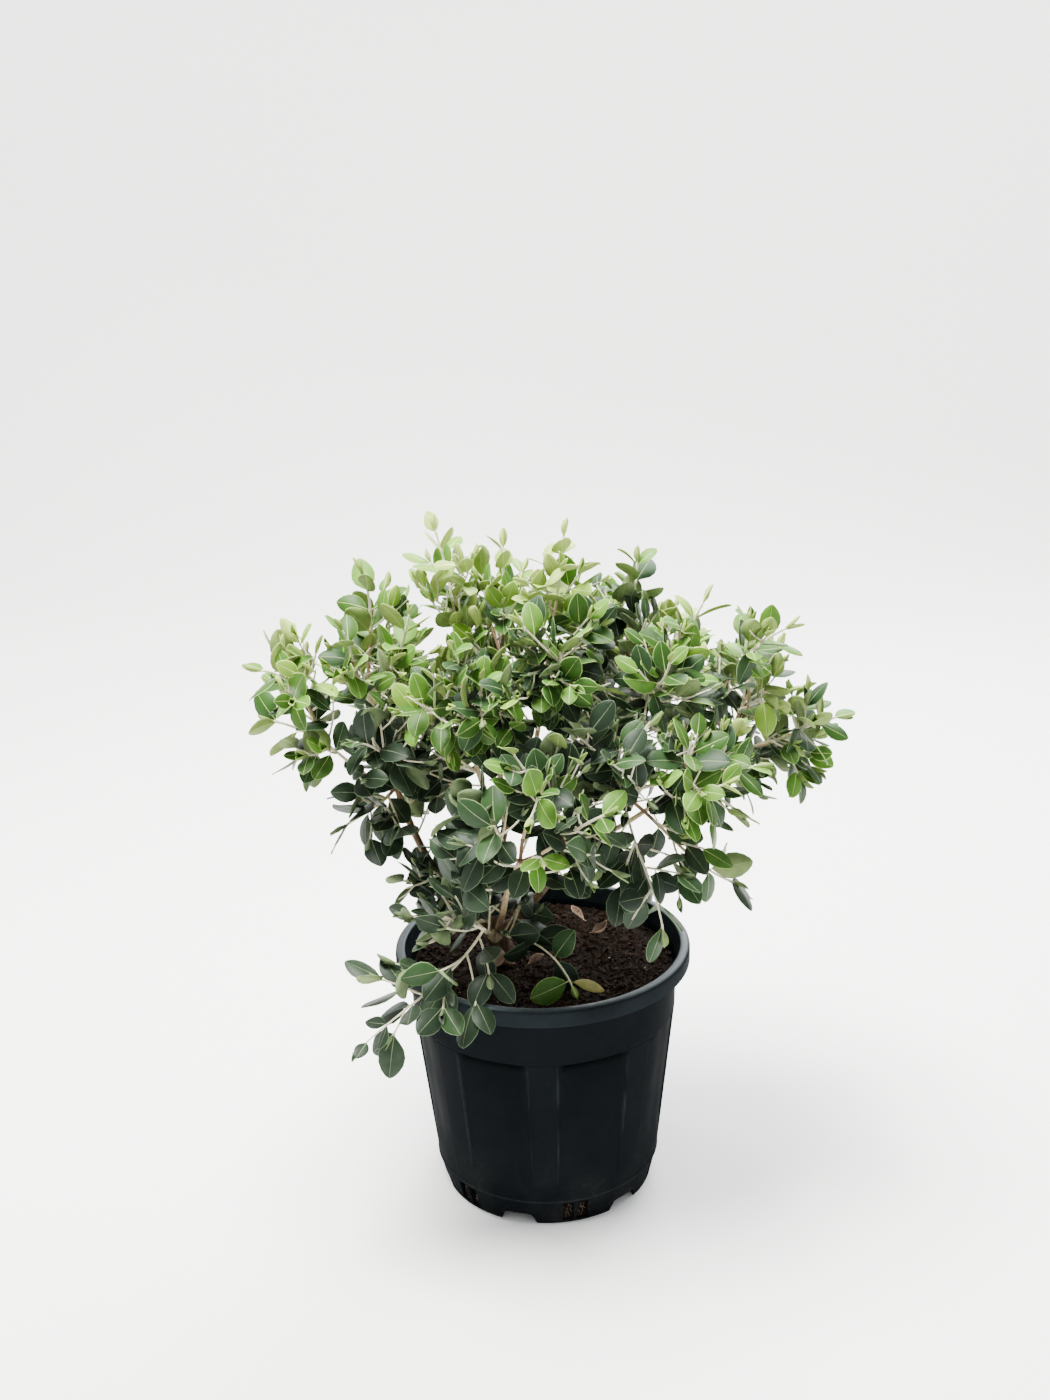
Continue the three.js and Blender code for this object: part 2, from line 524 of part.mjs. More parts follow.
// Side shoots leave the stem in turn round it and curve up to the light
function sideShoot(stem, shoot, count, swing, mass) {
  const along = blend(0.34, 0.84, (shoot + 0.5) / count) + 0.08 * (chance(mass, 7, shoot) - 0.5);
  const base = onTwig({ curve: stem.curve, steps: STEM_STEPS }, along);
  const tangent = stem.curve.getTangentAt(along);
  const out = sideWay(tangent, shoot * 2.4 + 6.28 * chance(mass, 8, 0) + swing);
  const way = tangent.clone().multiplyScalar(0.62).add(out).normalize();
  const length = SHOOT_LENGTH * blend(1.15, 0.6, along) * blend(0.8, 1.15, chance(mass, 9, shoot));
  const middle = base.clone().addScaledVector(way, 0.5 * length);
  const endWay = way.clone().addScaledVector(tangent, 0.4).addScaledVector(UP, 0.35).normalize();
  const end = middle.clone().addScaledVector(endWay, 0.5 * length);
  return new THREE.QuadraticBezierCurve3(base, middle, end);
}

// A shoot or leaf with no room turns a little round its twig, and is left out if that doesn't free it
function growMass(index, stems, limbs) {
  const stem = stems[index];
  const free = freeFor(index, stems, limbs);
  const pieces = [bent(stem.curve, (along) => blend(STEM_RADIUS, TIP_RADIUS, along), TWIG_SIDES, STEM_STEPS)];
  const twigs = [{ curve: stem.curve, steps: STEM_STEPS, id: 0, length: stem.curve.getLength(), bare: PAIRS.bare }];
  const count = stem.row.shoots ?? SHOOTS;
  const shoots = [];
  for (let shoot = 0; shoot < count; shoot++) {
    const curve = SWINGS.map((swing) => sideShoot(stem, shoot, count, swing, index)).find((tried) => {
      const end = tried.getPoint(1);
      return [0.3, 0.55, 0.8, 1].every((along) => free(tried.getPoint(along), CLEAR + 1))
        && shoots.every((other) => other.distanceTo(end) > LEAF.space);
    });
    if (!curve) continue;
    shoots.push(curve.getPoint(1));
    pieces.push(bent(curve, (along) => (along ? TIP_RADIUS : SHOOT_ROOT), TWIG_SIDES, SHOOT_STEPS));
    twigs.push({ curve, steps: SHOOT_STEPS, id: shoot + 10, length: curve.getLength(), bare: PAIRS.shootBare });
  }
  const spines = [];
  for (const twig of twigs) {
    const others = twigs.filter((other) => other !== twig).map((other) => other.curve.getPoints(other.steps));
    const roomy = (leaf) => [...leaf.outline.slice(1), leaf.spine[1]].every((point) => free(point, CLEAR))
      && spines.every((spine) => leaf.spine.every((point) => point.distanceTo(spine) >= LEAF.space))
      && others.every((path) => leaf.spine.every((point) => pathDistance(point, path) >= LEAF.twigSpace));
    const pairs = Math.max(1, Math.round(((1 - twig.bare) * twig.length) / PAIRS.step));
    for (let pair = 0; pair <= pairs; pair++) {
      const along = blend(1 - PAIRS.tipSpace / twig.length, twig.bare, pair / pairs);
      if (pair > 0 && pair === pairs && twig.id > 0 && twig.length < PAIRS.step) continue;
      const scale = (stem.row.scale ?? 1) * blend(1.08, 0.92, along) * blend(0.9, 1.1, chance(index, twig.id, pair + 80));
      for (const half of [0, 1]) {
        const leaf = SWINGS.map((swing) => leafAt(twig, along, pair, half, swing, index, scale)).find(roomy);
        if (!leaf) continue;
        spines.push(...leaf.spine);
        pieces.push(leafSolid(leaf.outline, leaf.face, scale));
      }
    }
  }
  const shape = largestPiece(wasm.Manifold.union(pieces).simplify(FINE));
  return named(stem.row.name, shape, FOLIAGE);
}

const plant = new THREE.Group();
plant.add(potMesh(), soilMesh());
const { limbs, ways } = growLimbs();
for (const limb of limbs.values()) {
  limb.path = limb.curve.getSpacedPoints(6);
  plant.add(named(limb.name, limb.shape, BARK));
}
const stems = growStems(limbs, ways);
stems.forEach((stem, index) => plant.add(growMass(index, stems, limbs)));

export default plant;
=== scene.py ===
import math
import bpy
import numpy as np
from mathutils import Matrix, Vector, noise


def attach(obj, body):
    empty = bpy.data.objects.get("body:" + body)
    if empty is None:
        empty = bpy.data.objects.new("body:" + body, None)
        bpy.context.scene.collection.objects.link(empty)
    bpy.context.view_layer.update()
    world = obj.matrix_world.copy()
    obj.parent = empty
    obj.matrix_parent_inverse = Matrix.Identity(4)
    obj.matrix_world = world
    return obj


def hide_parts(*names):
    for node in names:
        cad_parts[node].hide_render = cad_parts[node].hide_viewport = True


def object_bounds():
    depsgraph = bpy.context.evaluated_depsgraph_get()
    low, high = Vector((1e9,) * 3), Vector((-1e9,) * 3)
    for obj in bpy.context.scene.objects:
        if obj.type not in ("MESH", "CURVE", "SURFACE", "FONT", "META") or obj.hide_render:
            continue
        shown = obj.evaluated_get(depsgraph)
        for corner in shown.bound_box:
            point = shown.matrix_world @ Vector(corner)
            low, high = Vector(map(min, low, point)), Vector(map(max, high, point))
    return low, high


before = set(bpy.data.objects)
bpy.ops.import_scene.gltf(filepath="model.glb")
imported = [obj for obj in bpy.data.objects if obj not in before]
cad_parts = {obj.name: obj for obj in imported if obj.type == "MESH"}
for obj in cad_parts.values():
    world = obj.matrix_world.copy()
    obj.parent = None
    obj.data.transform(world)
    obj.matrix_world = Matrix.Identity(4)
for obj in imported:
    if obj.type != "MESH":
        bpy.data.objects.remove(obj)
cad_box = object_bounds()


# The camera is a hand-held one about 1.1 m up and 1.6 m in front of the pot, tipped down at the plant.
# Its place and angles follow from the pot's rim, band and foot, which are true circles.
MM = 0.001
LENS_PIXELS = 1600
FRAME_PIXELS = 1400
CAMERA_PLACE = Vector((0, -1626.88, 1099.32)) * MM
CAMERA_PAN = -0.007284
CAMERA_TILT = 0.313685
CAMERA_ROLL = -0.028853

camera_data = bpy.data.cameras.new("camera")
camera_data.sensor_fit = "AUTO"
camera_data.sensor_width = 36
camera_data.lens = LENS_PIXELS / FRAME_PIXELS * camera_data.sensor_width
camera = bpy.data.objects.new("camera", camera_data)
bpy.context.scene.collection.objects.link(camera)
sight = Vector((
    math.sin(CAMERA_PAN) * math.cos(CAMERA_TILT),
    math.cos(CAMERA_PAN) * math.cos(CAMERA_TILT),
    -math.sin(CAMERA_TILT),
))
level = Vector((math.cos(CAMERA_PAN), -math.sin(CAMERA_PAN), 0))
upright = level.cross(sight)
frame_right = level * math.cos(CAMERA_ROLL) + upright * math.sin(CAMERA_ROLL)
frame_up = upright * math.cos(CAMERA_ROLL) - level * math.sin(CAMERA_ROLL)
axes = Matrix((frame_right, frame_up, -sight)).transposed()
camera.matrix_world = Matrix.Translation(CAMERA_PLACE) @ axes.to_4x4()
bpy.context.scene.camera = camera


# The light is an overcast sky: a large soft panel high over the plant, a little to its left, weaker ones
# behind and in front, and an even white surround. Two more panels light only the paper at the back.
def linear(hex_colour):
    """An sRGB hex colour as the linear RGBA that a shader works in."""
    parts = [int(hex_colour[i:i + 2], 16) / 255 for i in (1, 3, 5)]
    return tuple(p / 12.92 if p <= 0.04045 else ((p + 0.055) / 1.055) ** 2.4 for p in parts) + (1.0,)


def wire(tree, node, inputs):
    """Fills inputs with values or links. A node given as an input is linked by its first live output."""
    for socket, value in inputs.items():
        if isinstance(value, bpy.types.Node):
            value = next(output for output in value.outputs if output.enabled)
        if isinstance(value, bpy.types.NodeSocket):
            tree.links.new(value, node.inputs[socket])
        else:
            node.inputs[socket].default_value = value


def add_node(tree, kind, inputs=None, **settings):
    """Adds a node, with settings for the node itself and values or links for its sockets."""
    made = tree.nodes.new(kind)
    for name, value in settings.items():
        setattr(made, name, value)
    wire(tree, made, inputs or {})
    return made


def soft_panel(name, place, aim, size, watts, colour):
    """A round soft light at a place, turned towards what it lights."""
    panel_data = bpy.data.lights.new(name, "AREA")
    panel_data.shape = "DISK"
    panel_data.size = size
    panel_data.energy = watts
    panel_data.color = linear(colour)[:3]
    panel = bpy.data.objects.new(name, panel_data)
    panel.location = place
    panel.rotation_euler = (Vector(aim) - Vector(place)).to_track_quat("-Z", "Y").to_euler()
    bpy.context.scene.collection.objects.link(panel)


soft_panel("sky_panel", (-0.5, -0.15, 3.0), (0, 0, 0.45), 1.5, 450, "#fffefa")
soft_panel("back_panel", (0.9, 1.9, 2.2), (0, 0, 0.5), 1.6, 140, "#fbfdff")
soft_panel("front_fill", (1.7, -2.0, 1.3), (0, 0, 0.35), 2.0, 8, "#f7fbff")
soft_panel("paper_left", (-2.6, 1.6, 3.2), (-1.6, 4.1, 1.2), 2.0, 155, "#ffffff")
soft_panel("paper_right", (2.6, 1.6, 3.2), (1.6, 4.1, 1.2), 2.0, 180, "#ffffff")
sky = bpy.data.worlds.new("white_surround")
sky.use_nodes = True
sky.node_tree.nodes["Background"].inputs["Color"].default_value = linear("#f8fbff")
sky.node_tree.nodes["Background"].inputs["Strength"].default_value = 0.88
bpy.context.scene.world = sky


# The floor is a sheet of white studio paper that sweeps up behind the plant with no line at the back.
# It is uncoated, so it gives a soft shadow and no reflection.
PAPER_HALF = 5000
PAPER_FRONT = -4000
PAPER_FLAT = 2600
PAPER_BEND = 1500
PAPER_BEND_STEPS = 12
PAPER_TOP = 6000


def mesh_object(name, points, faces, materials, face_materials=None, smooth=True):
    """A mesh in the row frame from points in millimetres."""
    mesh = bpy.data.meshes.new(name)
    mesh.from_pydata(np.asarray(points, float) * MM, [], faces)
    for material in materials:
        mesh.materials.append(material)
    if face_materials is not None:
        mesh.polygons.foreach_set("material_index", face_materials)
    mesh.polygons.foreach_set("use_smooth", [smooth] * len(mesh.polygons))
    mesh.update()
    made = bpy.data.objects.new(name, mesh)
    bpy.context.scene.collection.objects.link(made)
    return made


def new_material(name):
    """A material with its tree of nodes and the shader in it."""
    material = bpy.data.materials.new(name)
    material.use_nodes = True
    return material, material.node_tree, material.node_tree.nodes["Principled BSDF"]


def uncoated_paper():
    """Uncoated white studio paper: even and matte."""
    paper, tree, shader = new_material("white_studio_paper")
    wire(tree, shader, {"Base Color": linear("#f6f6f4"), "Roughness": 0.95, "Specular IOR Level": 0.2})
    return paper


sweep = [(PAPER_FRONT, 0), (0, 0), (PAPER_FLAT, 0)]
for turn in np.linspace(0, math.pi / 2, PAPER_BEND_STEPS + 1)[1:]:
    sweep.append((PAPER_FLAT + PAPER_BEND * math.sin(turn), PAPER_BEND * (1 - math.cos(turn))))
sweep.append((PAPER_FLAT + PAPER_BEND, PAPER_TOP))
paper_points = [(side * PAPER_HALF, y, z) for y, z in sweep for side in (-1, 1)]
paper_faces = [(2 * i, 2 * i + 1, 2 * i + 3, 2 * i + 2) for i in range(len(sweep) - 1)]
paper = mesh_object("studio_paper", paper_points, paper_faces, [uncoated_paper()])


# The pot is a 16 litre nursery pot, injection-moulded in one piece of black polypropylene. Under a smooth
# band, eight ribs stand between shallow V flutes, and water leaves by notches and slots in the foot.
POT_HEIGHT = 288
RIM_RADIUS = 165
LIP_BOTTOM = 269
BAND_RADIUS = 148
BAND_BOTTOM = 215
RING_RADIUS = 127.4
RING_HEIGHT = 32
FOOT_RADIUS = 119.5
WALL = 2.5
RIBS = 8
RIB_TURN = -1.5
RIB_HALF = 6.25
RIB_EDGE = 0.7
RIB_STEP = 2
FLUTE_DEPTH = 5
FLUTE_FADE = 62
SHARP_EDGE = 32
NOTCHES = {"count": 6, "turn": -16.5, "wide": 42, "narrow": 31, "height": 13.4, "corner": 4}
SLOTS = {"count": 6, "turn": 13.5, "width": 12.2, "mullion": 4.2, "bottom": 4, "top": 29}


def flute_depth(from_rib):
    """How deep the flute is at an angle in degrees from the middle of a rib."""
    away = abs(from_rib)
    if away <= RIB_HALF:
        return 0.0
    step = RIB_STEP * min(1.0, (away - RIB_HALF) / RIB_EDGE)
    valley = (away - RIB_HALF) / (180 / RIBS - RIB_HALF)
    return step + (FLUTE_DEPTH - RIB_STEP) * valley


def pot_wall(height):
    """Radius of the outside between the foot and the smooth band."""
    if height < RING_HEIGHT:
        return FOOT_RADIUS + (RING_RADIUS - FOOT_RADIUS) * height / RING_HEIGHT
    rise = (height - RING_HEIGHT) / (BAND_BOTTOM - RING_HEIGHT)
    return RING_RADIUS + (BAND_RADIUS - RING_RADIUS) * rise


def pot_rows():
    """Radius, height and share of the flutes' depth, from the underside up and down the inside."""
    rows = [(38.0, 0, 0), (39.5, 0.8, 0), (43.5, 11.4, 0), (45.0, 12, 0), (115.6, 12, 0), (116.9, 11, 0)]
    rows += [(117.1, 0.8, 0), (117.6, 0, 0), (119.0, 0, 0), (119.8, 0.9, 0)]
    rows += [(pot_wall(h), h, 0) for h in (4, 8, 12, 17, 22, 27, 30.4)]
    ring = RING_RADIUS + 0.7
    rows += [(pot_wall(31.2) - 0.1, 31.2, 0), (ring, 32.0, 0), (ring, 33.2, 0.02)]
    for height in (34.4, 40, 50, 62, 76, 92, 112, 134, 156, 178, 198, 209, 211.6, 212.8):
        fade = min(1.0, (height - RING_HEIGHT) / FLUTE_FADE)
        rows.append((pot_wall(height), height, fade * fade * (3 - 2 * fade)))
    rows += [(pot_wall(214), 213.9, 0.55), (BAND_RADIUS - 0.5, 214.8, 0.08), (BAND_RADIUS, 215.6, 0)]
    rows += [(BAND_RADIUS + 1.6 * (h - 215) / 54, h, 0) for h in (218, 230, 245, 258, 264, 266.4)]
    rows += [(150.6, 268.2, 0), (152.6, LIP_BOTTOM, 0), (162.6, LIP_BOTTOM, 0), (164.2, 269.1, 0)]
    rows += [(164.9, 269.8, 0), (RIM_RADIUS, 271.4, 0), (RIM_RADIUS, 283.2, 0), (164.7, 285.0, 0)]
    rows += [(163.6, 286.5, 0), (161.8, 287.4, 0), (159.4, 287.9, 0), (156.9, POT_HEIGHT, 0)]
    rows += [(154.9, 287.3, 0), (153.8, 285.8, 0), (152.8, 279, 0), (149.4, 269, 0), (147.3, 262, 0)]
    rows += [(146.7, 250, 0), (146.2, 236, 0), (145.5, 218, 0), (139.0, 209, 0), (129.6, 110, 0)]
    rows += [(118.9, 14.5, 0), (45.4, 14.5, 0), (42.0, 7.5, 0), (39.0, 2.5, 0)]
    return rows


def ring_faces(rings, sides):
    """Faces between rings of points, and from the end rings to the two points that come after all of them."""
    faces = []
    for ring in range(rings - 1):
        here = ring * sides
        for side in range(sides):
            after = (side + 1) % sides
            faces.append((here + side, here + after, here + sides + after, here + sides + side))
    last = (rings - 1) * sides
    for side in range(sides):
        after = (side + 1) % sides
        faces.append((rings * sides, after, side))
        faces.append((last + side, last + after, rings * sides + 1))
    return faces


def turned_pot():
    right = [1.5, 4, 5.8, 6.25, 6.6, 6.95, 7.3, 8.2, 10, 13, 16, 19]
    offsets = [-180 / RIBS] + [-offset for offset in reversed(right)] + [0] + right
    columns = [(rib * 360 / RIBS + offset + RIB_TURN, flute_depth(offset))
               for rib in range(RIBS) for offset in offsets]
    rows = pot_rows()
    points = []
    for radius, height, share in rows:
        for turn, depth in columns:
            reach = radius - depth * share
            across, back = math.sin(math.radians(turn)), -math.cos(math.radians(turn))
            points.append((reach * across, reach * back, height))
    points += [(0, 0, 0), (0, 0, WALL)]
    return points, ring_faces(len(rows), len(columns))


def wall_cutter(outline, turn):
    """A block with this outline in X and Z, pushed through the foot at an angle round the pot."""
    outer, inner = -FOOT_RADIUS - 16, -FOOT_RADIUS + 9
    block = [(x, y, z) for y in (outer, inner) for x, z in outline]
    count = len(outline)
    faces = [tuple(reversed(range(count))), tuple(range(count, 2 * count))]
    faces += [(i, (i + 1) % count, (i + 1) % count + count, i + count) for i in range(count)]
    angle = math.radians(turn)
    turned = [(x * math.cos(angle) - y * math.sin(angle), x * math.sin(angle) + y * math.cos(angle), z)
              for x, y, z in block]
    return turned, faces


def foot_cutters():
    points = []
    faces = []
    outlines = []
    half = NOTCHES["wide"] / 2
    inner = NOTCHES["narrow"] / 2
    corner = NOTCHES["corner"]
    high = NOTCHES["height"]
    arch = [(half, -1), (half - 1.6, 2.6), (inner + 1.2, high - corner), (inner - 0.6, high - 1.1)]
    arch.append((inner - corner, high))
    notch = [(-x, z) for x, z in arch] + list(reversed(arch))
    for i in range(NOTCHES["count"]):
        outlines.append((notch, NOTCHES["turn"] + i * 360 / NOTCHES["count"]))
    for i in range(SLOTS["count"]):
        for side in (-1, 1):
            near = side * SLOTS["mullion"] / 2
            far = near + side * SLOTS["width"]
            left, right = min(near, far), max(near, far)
            low, high = SLOTS["bottom"], SLOTS["top"]
            slot = [(left, low), (left, high), (right, high), (right, low)]
            outlines.append((slot, SLOTS["turn"] + i * 360 / SLOTS["count"]))
    for outline, turn in outlines:
        block, sides = wall_cutter(outline, turn)
        faces += [tuple(i + len(points) for i in side) for side in sides]
        points += block
    return points, faces


def black_polypropylene():
    """Black moulded polypropylene: matte, faintly blue, dusty near the foot and worn along the ribs' edges.

    The colour is laid on in turn: plastic, painted shade in the flutes under the band, dried dust, worn edges
    with a painted edge highlight, and a film on the lip, whose top is handled smooth."""
    plastic, tree, shader = new_material("black_moulded_polypropylene")
    place = add_node(tree, "ShaderNodeTexCoord").outputs["Object"]
    cloudy = add_node(tree, "ShaderNodeTexNoise", {"Vector": place, "Scale": 1 / 0.06, "Detail": 5.0})
    specks = add_node(tree, "ShaderNodeTexNoise", {"Vector": place, "Scale": 1 / 0.004, "Detail": 3.0})
    x, y, z = add_node(tree, "ShaderNodeSeparateXYZ", {"Vector": place}).outputs
    across = add_node(tree, "ShaderNodeMath", {0: y, 1: -1.0}, operation="MULTIPLY")
    turn = add_node(tree, "ShaderNodeMath", {0: x, 1: across}, operation="ARCTAN2")
    first_rib, half_rib = math.radians(RIB_TURN), math.pi / RIBS
    from_first = add_node(tree, "ShaderNodeMath", {0: turn, 1: first_rib}, operation="SUBTRACT")
    from_rib = add_node(tree, "ShaderNodeMath", {0: from_first, 1: half_rib, 2: -half_rib}, operation="WRAP")
    one_side = add_node(tree, "ShaderNodeMath", {0: from_rib}, operation="ABSOLUTE")
    rib_edge = math.radians(RIB_HALF + 0.1)
    from_edge = add_node(tree, "ShaderNodeMath", {0: one_side, 1: rib_edge}, operation="SUBTRACT")
    off_edge = add_node(tree, "ShaderNodeMath", {0: from_edge}, operation="ABSOLUTE")
    ring = (RING_HEIGHT + 0.8) * MM
    from_ring = add_node(tree, "ShaderNodeMath", {0: z, 1: ring}, operation="SUBTRACT")
    off_ring = add_node(tree, "ShaderNodeMath", {0: from_ring}, operation="ABSOLUTE")
    masks = {}
    for name, value, start, end, low, high in (
        ("near_foot", z, 0.1, 0.0, 0.0, 1.0),
        ("patchy", cloudy, 0.42, 0.7, 0.0, 1.0),
        ("grain", specks, 0.5, 0.72, 0.16, 0.5),
        ("gloss", cloudy, 0.3, 0.7, 0.5, 0.62),
        ("lip_top", z, (POT_HEIGHT - 1.8) * MM, (POT_HEIGHT - 0.2) * MM, 0.004, 0.8),
        ("in_flute", from_edge, 0.0, 0.05, 0.0, 1.0),
        # The next two ramps shape the painted shade in the flutes, rising towards the band.
        ("shade_rising_to_band", z, 0.08, (BAND_BOTTOM - 5) * MM, 0.0, 0.4),
        ("shade_at_band", z, (BAND_BOTTOM - 12) * MM, (BAND_BOTTOM - 5) * MM, 0.0, 0.5),
        ("under_ledge", z, (BAND_BOTTOM - 0.6) * MM, (BAND_BOTTOM - 1.2) * MM, 0.0, 1.0),
        ("edge", off_edge, math.radians(0.9), 0.0, 0.0, 1.0),
        ("under_band", z, (BAND_BOTTOM - 3) * MM, (BAND_BOTTOM - 10) * MM, 0.0, 0.3),
        ("above_foot", z, 0.06, 0.1, 0.0, 1.0),
        ("on_ring", off_ring, 0.0012, 0.0004, 0.0, 0.45),
        ("on_lip", z, (LIP_BOTTOM - 0.8) * MM, (LIP_BOTTOM + 0.2) * MM, 0.0, 1.0),
        ("film", cloudy, 0.3, 0.7, 0.3, 0.75),
    ):
        span = {"Value": value, "From Min": start, "From Max": end, "To Min": low, "To Max": high}
        masks[name] = add_node(tree, "ShaderNodeMapRange", span)
    for name, operation, first, second in (
        ("dusty", "MULTIPLY", "near_foot", "patchy"),
        ("dust", "MULTIPLY", "dusty", "grain"),
        ("dull", "ADD", "gloss", "dust"),
        # Painted shade: the flutes, not the ribs, are darkened towards the band, most just under its ledge.
        ("band_shade", "ADD", "shade_rising_to_band", "shade_at_band"),
        ("below", "MULTIPLY", "band_shade", "under_ledge"),
        ("painted_flute_shade", "MULTIPLY", "below", "in_flute"),
        # The rib edges under the band are lightened: partly wear, partly a painted edge highlight.
        ("edge_wear_and_highlight", "MULTIPLY", "edge", "under_band"),
        ("rib_wear_and_highlight", "MULTIPLY", "edge_wear_and_highlight", "above_foot"),
        ("uneven", "MULTIPLY", "rib_wear_and_highlight", "patchy"),
        ("lip_film", "MULTIPLY", "on_lip", "film"),
    ):
        both = {0: masks[first], 1: masks[second]}
        masks[name] = add_node(tree, "ShaderNodeMath", both, operation=operation)
    # The ring above the foot is lightened in specks: partly wear, partly a painted edge highlight.
    ring_wear_and_highlight = add_node(tree, "ShaderNodeMath", {0: masks["on_ring"], 1: specks}, operation="MULTIPLY")
    wear_and_edge_highlight = add_node(tree, "ShaderNodeMath", {0: ring_wear_and_highlight, 1: masks["uneven"]}, operation="MAXIMUM")
    colour = linear("#0a0c0e")
    # Laid on in turn: cloudy plastic, painted shade in the flutes, dust, wear with a painted edge highlight,
    # lip film.
    for amount, laid_on in (
        (cloudy, "#111417"), (masks["painted_flute_shade"], "#020303"), (masks["dust"], "#363631"),
        (wear_and_edge_highlight, "#34393b"), (masks["lip_film"], "#202528"),
    ):
        colour = add_node(tree, "ShaderNodeMix", {"Factor": amount, "A": colour, "B": linear(laid_on)},
                          data_type="RGBA")
    pebble = add_node(tree, "ShaderNodeBump", {"Height": specks, "Strength": 0.12, "Distance": 0.0004})
    # The pale blue specular tint is a painted reflection: it stands in for the sky's colour in the lip's
    # highlight.
    wire(tree, shader, {"Base Color": colour, "Roughness": masks["dull"], "Normal": pebble, "IOR": 1.49,
                        "Specular IOR Level": masks["lip_top"], "Specular Tint": linear("#b3c9d6")})
    return plastic


def plain_mesh(thing, name):
    """The object's mesh with its modifiers worked in, and the modifiers taken off."""
    graph = bpy.context.evaluated_depsgraph_get()
    worked = bpy.data.meshes.new_from_object(thing.evaluated_get(graph))
    worked.name = name
    thing.modifiers.clear()
    thing.data = worked
    return thing


pot_points, pot_faces = turned_pot()
pot = mesh_object("nursery_pot", pot_points, pot_faces, [black_polypropylene()])
cutter_points, cutter_faces = foot_cutters()
cutters = mesh_object("foot_cutters", cutter_points, cutter_faces, [])
foot_cut = pot.modifiers.new("foot_cut", "BOOLEAN")
foot_cut.operation = "DIFFERENCE"
foot_cut.solver = "EXACT"
foot_cut.object = cutters
plain_mesh(pot, "nursery_pot")
bpy.data.objects.remove(cutters)
pot.data.polygons.foreach_set("use_smooth", [True] * len(pot.data.polygons))
pot.data.set_sharp_from_angle(angle=math.radians(SHARP_EDGE))
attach(pot, "root")
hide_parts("pot")


# The potting mix is composted bark with a little perlite, damp and dark red-brown, filled to 23 mm
# under the rim. Its top is crumbly and a little hollow, with coarser bark lying loose on it.
SOIL_TOP = 265
SOIL_EDGE = 262
SOIL_RADIUS = 146.2
SOIL_SETTLES = 8
SOIL_SINKS = 0.4
SOIL_RINGS = 64
SOIL_SIDES = 190
MIX_SEED = 12
STREWN_ABOVE = 260.5
STREWN_WITHIN = 140


def crumbly(x, y):
    """Height of the mix's surface in mm at a place, from lumps about 40, 12 and 4 mm across."""
    lumps = 2.0 * noise.noise(Vector((x / 40, y / 40, 1.7)))
    clods = 1.5 * noise.noise(Vector((x / 12, y / 12, 5.1)))
    grit = 0.9 * noise.noise(Vector((x / 4.2, y / 4.2, 9.3)))
    return lumps + clods + grit


def potting_mix_shape():
    """The mix fills the pot up to its edge, and its crumbly top sinks a little towards the wall."""
    rows = [(38, 3.2), (43, 15.4), (116, 15.4), (138, 209), (144.4, 219), (SOIL_RADIUS, SOIL_EDGE)]
    rows += [(SOIL_RADIUS * (1 - ring / SOIL_RINGS), None) for ring in range(1, SOIL_RINGS)]
    points = []
    for radius, height in rows:
        for side in range(SOIL_SIDES):
            turn = 2 * math.pi * side / SOIL_SIDES
            x, y = radius * math.sin(turn), -radius * math.cos(turn)
            settled = min(1.0, (SOIL_RADIUS - radius) / SOIL_SETTLES)
            top = SOIL_EDGE + settled * (SOIL_TOP - SOIL_EDGE - SOIL_SINKS + crumbly(x, y))
            points.append((x, y, top if height is None else height))
    points += [(0, 0, 3.2), (0, 0, SOIL_TOP)]
    return points, ring_faces(len(rows), SOIL_SIDES)


def composted_bark(name, dark, light, grain_mm, rough=0.92):
    """Composted pine bark: damp, dull, each crumb a shade of its own from near black to red-brown."""
    bark_mix, tree, shader = new_material(name)
    place = add_node(tree, "ShaderNodeTexCoord").outputs["Object"]
    crumbs = add_node(tree, "ShaderNodeTexVoronoi", {"Vector": place, "Scale": 1 / (grain_mm * MM)})
    shade = add_node(tree, "ShaderNodeSeparateColor", {"Color": crumbs.outputs["Color"]})
    fine = add_node(tree, "ShaderNodeTexNoise", {"Vector": place, "Scale": 1 / 0.0012, "Detail": 4.0})
    both = add_node(tree, "ShaderNodeMath", {0: shade, 1: fine}, operation="MULTIPLY")
    mixed = add_node(tree, "ShaderNodeMix", {"Factor": both, "A": linear(dark), "B": linear(light)},
                     data_type="RGBA")
    relief = add_node(tree, "ShaderNodeBump", {"Height": fine, "Strength": 0.7, "Distance": 0.0012})
    wire(tree, shader, {"Base Color": mixed, "Normal": relief, "Roughness": rough, "Specular IOR Level": 0.1})
    return bark_mix


